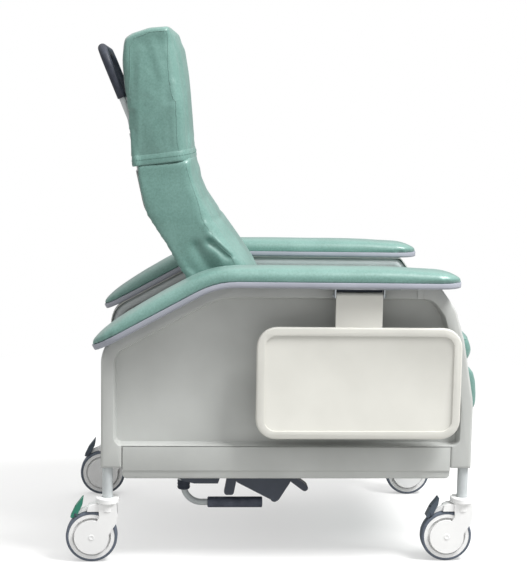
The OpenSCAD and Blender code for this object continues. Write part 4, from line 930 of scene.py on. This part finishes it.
@dataclass
class Upholstery:
    """All cushions of the seat, back and leg rest, with their seams and the head cover's hem."""

    seam_x: float = 255 * MM
    seat_seam_rise: float = 62 * MM
    piping_radius: float = 0.9 * MM
    seat_piping_radius: float = 1.4 * MM
    # The hem's rows: height over its lower plane and stand off the cover, both in mm.
    hem_from: float = 17.0
    hem_profile: tuple[tuple[float, float], ...] = (
        (-3.0, -4.0), (-6.0, 0.2), (-5.6, 1.9), (-2.4, 2.6), (6.0, 2.3), (13.0, 1.6), (17.0, 0.9), (20.0, 0.0))
    stitch_height: float = 8.0
    stitch_stand: float = 2.6 * MM
    pieces: dict[str, Padding] = field(default_factory=dict)

    def pads(self) -> list[Padding]:
        """Lists the cushions with their backings."""
        seat_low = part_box("seat_cushion")[0].z
        calf_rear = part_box("calf_pad")[1].y
        hinge = Vector((0.0, -0.465, 0.358))
        fold = math.radians(25)
        normal = Vector((0.0, -math.sin(fold), -math.cos(fold)))
        board_half, lip_x, sunk, lip_depth = 8.5 * MM, 0.2525, 44, 14

        def on_foot_board(p: Vector) -> bool:
            """Whether a point lies on the foot board."""
            return (p - hinge).dot(normal) < board_half

        def on_tubes(p: Vector) -> bool:
            """Whether a point lies in the sunk rear of the back, on the tubes, or on the lips beside them."""
            return p.y > rear_line(p.z) - (sunk if abs(p.x) < lip_x else lip_depth) * MM

        return [
            Padding("seat_cushion", "seat", VINYL, lambda p: p.z < seat_low + 5 * MM, voxel=7 * MM, fill=0.8,
                    full=5 * MM),
            Padding("back_cushion", "back", VINYL, on_tubes, voxel=5.5 * MM, fill=0.7, crease=back_creases,
                    lip=252 * MM, tuck=955 * MM),
            Padding("head_cushion", "back", COVER_VINYL, on_tubes, voxel=5.5 * MM, cap=1.5 * MM, fill=0.65,
                    crease=cover_creases, name="head_cover"),
            Padding("calf_pad", "calf", VINYL, lambda p: p.y > calf_rear - 3 * MM, voxel=5 * MM, shrink=2 * MM,
                    full=8 * MM),
            Padding("foot_pad", "foot", VINYL, on_foot_board, voxel=5 * MM, shrink=2 * MM),
        ]

    def build(self) -> None:
        """Builds the cushions, then their seams."""
        for pad in self.pads():
            pad.make()
            self.pieces[pad.node] = pad
        self.seams()
        self.hem()

    def seams(self) -> None:
        """Lays piping along the boxing seams of the back, the head cover and the seat."""
        for node, line, lift in (("back_cushion", BACK_SEAM, -0.2 * MM), ("head_cushion", HEAD_SEAM, -0.1 * MM)):
            pad = self.pieces[node]
            made = []
            for side in Side:
                start = [Vector((side.value * self.seam_x, y * MM, z * MM)) for y, z in line]
                spots = pad.on_cover(spaced(start, 6 * MM), lift)
                made.append(tube_mesh(node + "_piping", spots, self.piping_radius))
            piping = link(node + "_seam", joined(node + "_seam", made), pad.finish)
            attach(piping, "back")
            log.info("%s laid", piping.name)
        seat = self.pieces["seat_cushion"]
        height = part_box("seat_cushion")[0].z + self.seat_seam_rise
        loop = seat.ring(Vector((0, 0, height)), Vector((0, 0, 1)))
        line = spaced(loop, 7 * MM, closed=True)
        piping = link("seat_seam", tube_mesh("seat_seam", line, self.seat_piping_radius, closed=True), VINYL)
        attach(piping, "seat")

    def hem(self) -> None:
        """Turns up the head cover's lower edge as a sewn band that hangs over the back cushion's top."""
        pad = self.pieces["head_cushion"]
        rear, front, middle_y = Vector((0, 0.330, 0.967)), Vector((0, 0.190, 0.985)), 0.27
        along = (rear - front).normalized()
        up = Vector((1, 0, 0)).cross(along).normalized()
        if up.z < 0:
            up = -up
        start = self.hem_from * MM
        base = spaced(pad.ring(front + up * start, up), 5 * MM, True)
        outs = []
        for k, spot in enumerate(base):
            way = base[(k + 1) % len(base)] - base[k - 1]
            out = way.cross(up).normalized()
            if out.dot(spot - Vector((0, middle_y, spot.z))) < 0:
                out = -out
            outs.append(out)
        bm = bmesh.new()
        rows = []
        for height, stand in self.hem_profile:
            rows.append([bm.verts.new(spot + up * (height * MM - start) + out * stand * MM)
                         for spot, out in zip(base, outs)])
        for lower, upper in zip(rows, rows[1:]):
            for k in range(len(base)):
                after = (k + 1) % len(base)
                bm.faces.new((lower[k], lower[after], upper[after], upper[k]))
        bmesh.ops.recalc_face_normals(bm, faces=bm.faces)
        mesh = settled(bm, "head_cover_hem")
        for face in mesh.polygons:
            face.use_smooth = True
        band = link("head_cover_hem", mesh, COVER_VINYL)
        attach(band, "back")
        rise = self.stitch_height * MM - start
        line = [spot + up * rise + out * self.stitch_stand for spot, out in zip(base, outs)]
        thread = link("head_cover_stitches", stitches("head_cover_stitches", line, True), THREAD)
        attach(thread, "back")
        log.info("hem sewn")


def rear_line(z: float) -> float:
    """Y of the rear edge of the back's cushions at a height, in metres."""
    table = ((585, 165), (640, 180), (700, 209), (752, 245), (800, 276), (846, 306), (904, 322), (960, 340),
             (1015, 350), (1060, 353), (1095, 354))
    mm = z / MM
    for (z0, y0), (z1, y1) in zip(table, table[1:]):
        if mm <= z1:
            return (y0 + (y1 - y0) * max(0.0, (mm - z0)) / (z1 - z0)) * MM
    return 0.42


# ---------------------------------------------------------------------------------------------
# Arms, panels and trays
# ---------------------------------------------------------------------------------------------


@dataclass
class Arms:
    """Arm pads on their moulded bases."""

    seam_rise: float = 3.5 * MM

    def build(self) -> None:
        """Builds both arms."""
        for side in Side:
            letter = side.letter
            pad = Padding("arm_pad_" + letter, "base", VINYL, self.on_base, voxel=5 * MM, shrink=2 * MM,
                          pressure=2.5, fill=0.9, crease=arm_nose)
            pad.make()
            eased("arm_base_" + letter, "base", ARM_SHELL, 1.2 * MM)

    def on_base(self, p: Vector) -> bool:
        """Whether a point of an arm pad lies on the moulded base."""
        return p.z < arm_line(p.y) + self.seam_rise


def arm_line(y: float) -> float:
    """Height of the seam under an arm pad, in metres."""
    level, knee, radius, drop = 0.7, 0.143, 0.2, math.radians(28.7)
    start = knee - radius * math.tan(drop / 2)
    end = start + radius * math.sin(drop)
    if y <= start:
        return level
    if y >= end:
        return level - (y - knee) * math.tan(drop)
    return level - radius + math.sqrt(radius * radius - (y - start) ** 2)


def eased(node: str, body: str, finish: Finish, width: float, angle: float = 32.0,
          shape: Optional[Callable[[Vector], None]] = None) -> bpy.types.Object:
    """Copies a rigid node with eased edges and smooth shading, in its place.

    Args:
        node: CAD node that the copy replaces.
        body: Body that it rides on.
        finish: Its finish.
        width: Width of the eased edge.
        angle: Least angle of an edge that is eased, in degrees.
        shape: Moves a vertex before the edges are eased.

    Returns:
        The eased piece.
    """
    bm = copy_of(node)
    if shape is not None:
        for vertex in bm.verts:
            shape(vertex.co)
    bmesh.ops.dissolve_limit(bm, angle_limit=math.radians(0.5), verts=bm.verts, edges=bm.edges)
    piece = link(node + "_moulding", settled(bm, node + "_moulding"), finish)
    bevel = piece.modifiers.new("eased", "BEVEL")
    bevel.width = width
    bevel.segments = 2
    bevel.limit_method = "ANGLE"
    bevel.angle_limit = math.radians(angle)
    graph = bpy.context.evaluated_depsgraph_get()
    final = bpy.data.meshes.new_from_object(piece.evaluated_get(graph))
    piece.modifiers.clear()
    piece.data = final
    smooth(final, 34.0)
    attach(piece, body)
    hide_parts(node)
    log.info("%s eased", node)
    return piece


@dataclass
class Mouldings:
    """Side panels, skirts and trays."""

    def build(self) -> None:
        """Builds the mouldings of both sides."""
        for side in Side:
            letter = side.letter
            eased("side_panel_" + letter, "base", PANEL, 0.8 * MM, shape=self.flush)
            eased("skirt_" + letter, "base", PANEL, 0.7 * MM)
            eased("tray_" + letter, "tray_" + side.word, TRAY, 0.8 * MM)

    def flush(self, p: Vector) -> None:
        """Draws the panel's lower edge out to the skirt's face, so that the two meet in one plane."""
        if abs(p.x) > 0.312 and 0.2875 < p.z < 0.2915 and -0.436 < p.y < 0.36:
            p.x = math.copysign(0.3215, p.x)


@dataclass
class Casters:
    """Detail of the four casters: axle caps and pedal bolts, each a pair that rides on the caster's housing."""

    stems: tuple[tuple[Corner, float, float], ...] = (
        (Corner.REAR_RIGHT, -0.301, 0.398), (Corner.REAR_LEFT, 0.301, 0.398),
        (Corner.FRONT_RIGHT, -0.301, -0.474), (Corner.FRONT_LEFT, 0.301, -0.474))
    # Place off the stem's foot: how far out on either side, then Y and Z, in mm.
    axle: tuple[float, float, float] = (21.0, 38.0, 62.5)
    pedal_pin: tuple[float, float, float] = (13.0, 76.8, 118.1)
    # Radius and height pairs, in mm: a low dished cap, and a hexagon bolt's head.
    cap: tuple[tuple[float, float], ...] = ((7.4, -0.2), (7.4, 0.5), (6.6, 1.0), (4.4, 1.0), (3.4, 0.5), (0.2, 0.5))
    bolt: tuple[tuple[float, float], ...] = ((3.6, -0.2), (3.6, 1.6), (3.0, 2.4), (0.2, 2.6))

    def build(self) -> None:
        """Adds the detail to each caster."""
        for corner, x, y in self.stems:
            for kind, place, profile, steps, finish in (("axle_caps_", self.axle, self.cap, 24, NYLON),
                                                        ("pedal_bolts_", self.pedal_pin, self.bolt, 6, DARK_STEEL)):
                out, along, height = place
                made = [turned(kind + "one", profile, Vector((x + way * out * MM, y + along * MM, height * MM)),
                               Vector((way, 0, 0)), steps) for way in (-1, 1)]
                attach(link(kind + corner.value, joined(kind + corner.value, made), finish),
                        "swivel_" + corner.value)


@dataclass
class Fixings:
    """Small fixings: the foot lever's boot, the screws at the trays' hinges, and dark strips over the hinges that are
    painted shade.
    """

    boot_foot: tuple[float, float, float] = (-0.2, 0.212, 0.153)
    ribs: int = 3
    # Y of the faces of a bracket's ears, each with the way it looks, and radius and height of a screw head.
    ears: tuple[tuple[float, int], ...] = ((-0.2607, -1), (-0.1373, 1))
    head: tuple[tuple[float, float], ...] = ((4.6, 0.0), (4.6, 1.2), (3.4, 2.4), (0.2, 2.8))

    def build(self) -> None:
        """Builds all the fixings."""
        self.boot()
        self.tray_screws()
        self.hinge_shade_strips()

    def boot(self) -> None:
        """Puts a ribbed rubber boot where the foot lever turns."""
        profile = [(8.2, -2.0), (13.6, -1.0)]
        for low in (1.0 + 8.0 * k for k in range(self.ribs)):
            profile += [(15.2, low), (16.0, low + 2), (16.0, low + 4), (15.2, low + 6)]
        profile += [(9.0, 26.0)]
        mesh = turned("lever_boot", profile, Vector(self.boot_foot), Vector((0, 0, 1)), 28)
        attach(link("lever_boot", mesh, BOOT), "lever")

    def tray_screws(self) -> None:
        """Puts a screw head on each ear of the tray brackets."""
        for side in Side:
            name = "tray_screws_" + side.letter
            made = [turned("head", self.head, Vector((side.value * 0.355, y, 0.666)), Vector((0, way, 0)), 20)
                    for y, way in self.ears]
            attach(link(name, joined(name, made), ZINC), "base")

    def hinge_shade_strips(self) -> None:
        """Puts a dark strip over each tray's hinge, between the bracket and the tongue's root: painted shade for the
        shadowed slot there.
        """
        for side in Side:
            bm = bmesh.new()
            bmesh.ops.create_cube(bm, size=1.0)
            for vertex in bm.verts:
                vertex.co.x = side.value * (0.3225 if vertex.co.x < 0 else 0.3505)
                vertex.co.y = -0.2545 if vertex.co.y < 0 else -0.1435
                vertex.co.z = 0.6735 if vertex.co.z < 0 else 0.6828
            bmesh.ops.recalc_face_normals(bm, faces=bm.faces)
            bmesh.ops.bevel(bm, geom=list(bm.edges), offset=1.2 * MM, segments=3, affect="EDGES", profile=0.5)
            mesh = settled(bm, "tray_hinge_shade_" + side.letter)
            smooth(mesh, 30.0)
            # The navy strip is painted shade: a dark piece where the slot above the hinge lies in shadow.
            shade_strip = link("tray_hinge_shade_" + side.letter, mesh, BOOT)
            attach(shade_strip, "base")


@dataclass
class Carried:
    """CAD nodes that keep their shape and only get a finish."""

    table: tuple[tuple[Finish, tuple[str, ...]], ...] = (
        (TUBE, ("front_leg_r", "front_leg_l", "rear_leg_r", "rear_leg_l", "arm_rail_r", "arm_rail_l",
                "lower_rail_r", "lower_rail_l", "cross_tubes", "tilt_uprights", "seat_rails", "seat_bars",
                "back_tubes", "push_bar", "foot_lever")),
        (NYLON, ("caster_rr", "caster_rl", "caster_fr", "caster_fl", "rim_rr", "rim_rl", "rim_fr", "rim_fl")),
        (TREAD, ("tyre_rr", "tyre_rl", "tyre_fr", "tyre_fl")),
        (PEDAL_GREEN, ("pedal_rr",)),
        (PEDAL_DARK, ("pedal_rl", "pedal_fr", "pedal_fl")),
        (ZINC, ("tray_bracket_r", "tray_bracket_l", "caster_stems", "leg_slides", "strut_rod")),
        (PANEL, ("back_panel",)),
        (FOAM, ("push_grip",)),
        (FOOT_FOAM, ("foot_grip",)),
        (BOARD, ("seat_board", "calf_board", "foot_board")),
        (DARK_STEEL, ("foot_bracket", "strut_bracket", "strut_cylinder")),
    )

    def build(self) -> None:
        """Gives each node its finish."""
        for finish, names in self.table:
            for name in names:
                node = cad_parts[name]
                node.data.materials.clear()
                node.data.materials.append(finish.build())
            log.info("%s on %d nodes", finish.name, len(names))


@dataclass
class Studio:
    """Camera, soft lamp, floor and white surroundings."""

    eye: tuple[float, float, float] = (-3.7802, 0.2534, 1.1456)
    yaw: float = 0.0651
    pitch: float = 0.1348
    roll: float = 0.0177
    lens_mm: float = 91.16
    sensor_mm: float = 36.0
    wall_light: float = 0.1
    ceiling_light: float = 1.42
    lamp_at: tuple[float, float, float] = (-1.5, -2.2, 4.1)
    lamp_aim: tuple[float, float, float] = (0.0, 0.0, 0.5)
    lamp_size: float = 1.4
    lamp_watts: float = 232.0

    def build(self) -> None:
        """Builds the studio."""
        self.camera()
        self.world()
        self.floor()
        self.lamp()
        bpy.context.scene.view_settings.view_transform = "Standard"

    def camera(self) -> None:
        """Places the camera where the photograph was taken from."""
        forward = Vector((math.cos(self.yaw) * math.cos(self.pitch), -math.sin(self.yaw) * math.cos(self.pitch),
                          -math.sin(self.pitch)))
        level = forward.cross(Vector((0, 0, 1))).normalized()
        top = level.cross(forward)
        right = level * math.cos(self.roll) + top * math.sin(self.roll)
        up = top * math.cos(self.roll) - level * math.sin(self.roll)
        data = bpy.data.cameras.new("camera")
        data.lens = self.lens_mm
        data.sensor_width = self.sensor_mm
        data.clip_start, data.clip_end = 0.05, 200.0
        camera = bpy.data.objects.new("camera", data)
        bpy.context.scene.collection.objects.link(camera)
        turn = Matrix((right, up, -forward)).transposed().to_4x4()
        camera.matrix_world = Matrix.Translation(Vector(self.eye)) @ turn
        bpy.context.scene.camera = camera

    def world(self) -> None:
        """Fills the surroundings with soft white light and shows them white."""
        world = bpy.data.worlds.new("surroundings")
        bpy.context.scene.world = world
        world.use_nodes = True
        tree = world.node_tree
        tree.nodes.clear()
        rays = add_node(tree, "ShaderNodeLightPath")
        seen = add_node(tree, "ShaderNodeMath", {"operation": "MAXIMUM"}, at_0=rays.outputs["Is Camera Ray"],
                        at_1=rays.outputs["Is Transmission Ray"])
        way = add_node(tree, "ShaderNodeTexCoord")
        parts = add_node(tree, "ShaderNodeSeparateXYZ", Vector=way.outputs["Generated"])
        # A studio with a white ceiling and darker walls: vertical faces get less light than level ones.
        rise = add_node(tree, "ShaderNodeMapRange", Value=parts.outputs["Z"], From_Min=-0.1, From_Max=0.95,
                        To_Min=self.wall_light, To_Max=self.ceiling_light)
        fill = add_node(tree, "ShaderNodeBackground", Color=(1, 1, 1, 1), Strength=rise.outputs["Result"])
        white = add_node(tree, "ShaderNodeBackground", Color=(1, 1, 1, 1), Strength=1.0)
        mix = add_node(tree, "ShaderNodeMixShader", at_0=seen.outputs[0], at_1=fill.outputs[0], at_2=white.outputs[0])
        add_node(tree, "ShaderNodeOutputWorld", Surface=mix.outputs[0])

    def floor(self) -> None:
        """Lays a pale floor that keeps the soft shadow and fades to white."""
        bm = bmesh.new()
        bmesh.ops.create_grid(bm, x_segments=8, y_segments=8, size=30.0)
        mesh = settled(bm, "floor")
        floor = bpy.data.objects.new("floor", mesh)
        bpy.context.scene.collection.objects.link(floor)
        floor.location = (0, 0, -0.2 * MM)
        material = bpy.data.materials.new("seamless_paper")
        material.use_nodes = True
        tree = material.node_tree
        tree.nodes.clear()
        rays = add_node(tree, "ShaderNodeLightPath")
        # The camera sees white paper; what it throws back at the object is held to that of a pale grey floor.
        tone = add_node(tree, "ShaderNodeMix", {"data_type": "RGBA"}, at_0=rays.outputs["Is Camera Ray"],
                        at_6=linear("#b0b0af"), at_7=linear("#f4f4f3"))
        paper = add_node(tree, "ShaderNodeBsdfDiffuse", Color=tone.outputs[2])
        white = add_node(tree, "ShaderNodeEmission", Color=(1, 1, 1, 1), Strength=1.0)
        place = add_node(tree, "ShaderNodeTexCoord")
        flat = add_node(tree, "ShaderNodeVectorMath", {"operation": "LENGTH"}, at_0=place.outputs["Object"])
        far = add_node(tree, "ShaderNodeMapRange", Value=flat.outputs["Value"], From_Min=0.9, From_Max=2.6,
                       To_Min=0.45, To_Max=1.0)
        amount = add_node(tree, "ShaderNodeMath", {"operation": "MULTIPLY"}, at_0=rays.outputs["Is Camera Ray"],
                          at_1=far.outputs["Result"])
        mix = add_node(tree, "ShaderNodeMixShader", at_0=amount.outputs[0], at_1=paper.outputs[0],
                       at_2=white.outputs[0])
        add_node(tree, "ShaderNodeOutputMaterial", Surface=mix.outputs[0])
        mesh.materials.append(material)

    def lamp(self) -> None:
        """Hangs one large square soft box, high on the near side and towards the front, that points at the seat."""
        data = bpy.data.lights.new("top_light", "AREA")
        data.shape = "SQUARE"
        data.size = self.lamp_size
        data.energy = self.lamp_watts
        lamp = bpy.data.objects.new("top_light", data)
        bpy.context.scene.collection.objects.link(lamp)
        lamp.location = self.lamp_at
        way = Vector(self.lamp_aim) - Vector(self.lamp_at)
        lamp.rotation_euler = way.to_track_quat("-Z", "Y").to_euler()


def main() -> None:
    """Builds the studio and dresses every sub-assembly."""
    logging.basicConfig(level=logging.INFO, format="%(relativeCreated)6d ms %(name)s: %(message)s")
    for part in (Studio(), Carried(), Mouldings(), Arms(), Casters(), Fixings(), Upholstery()):
        part.build()
        log.info("%s done", type(part).__name__)


if __name__ == "__main__":
    main()
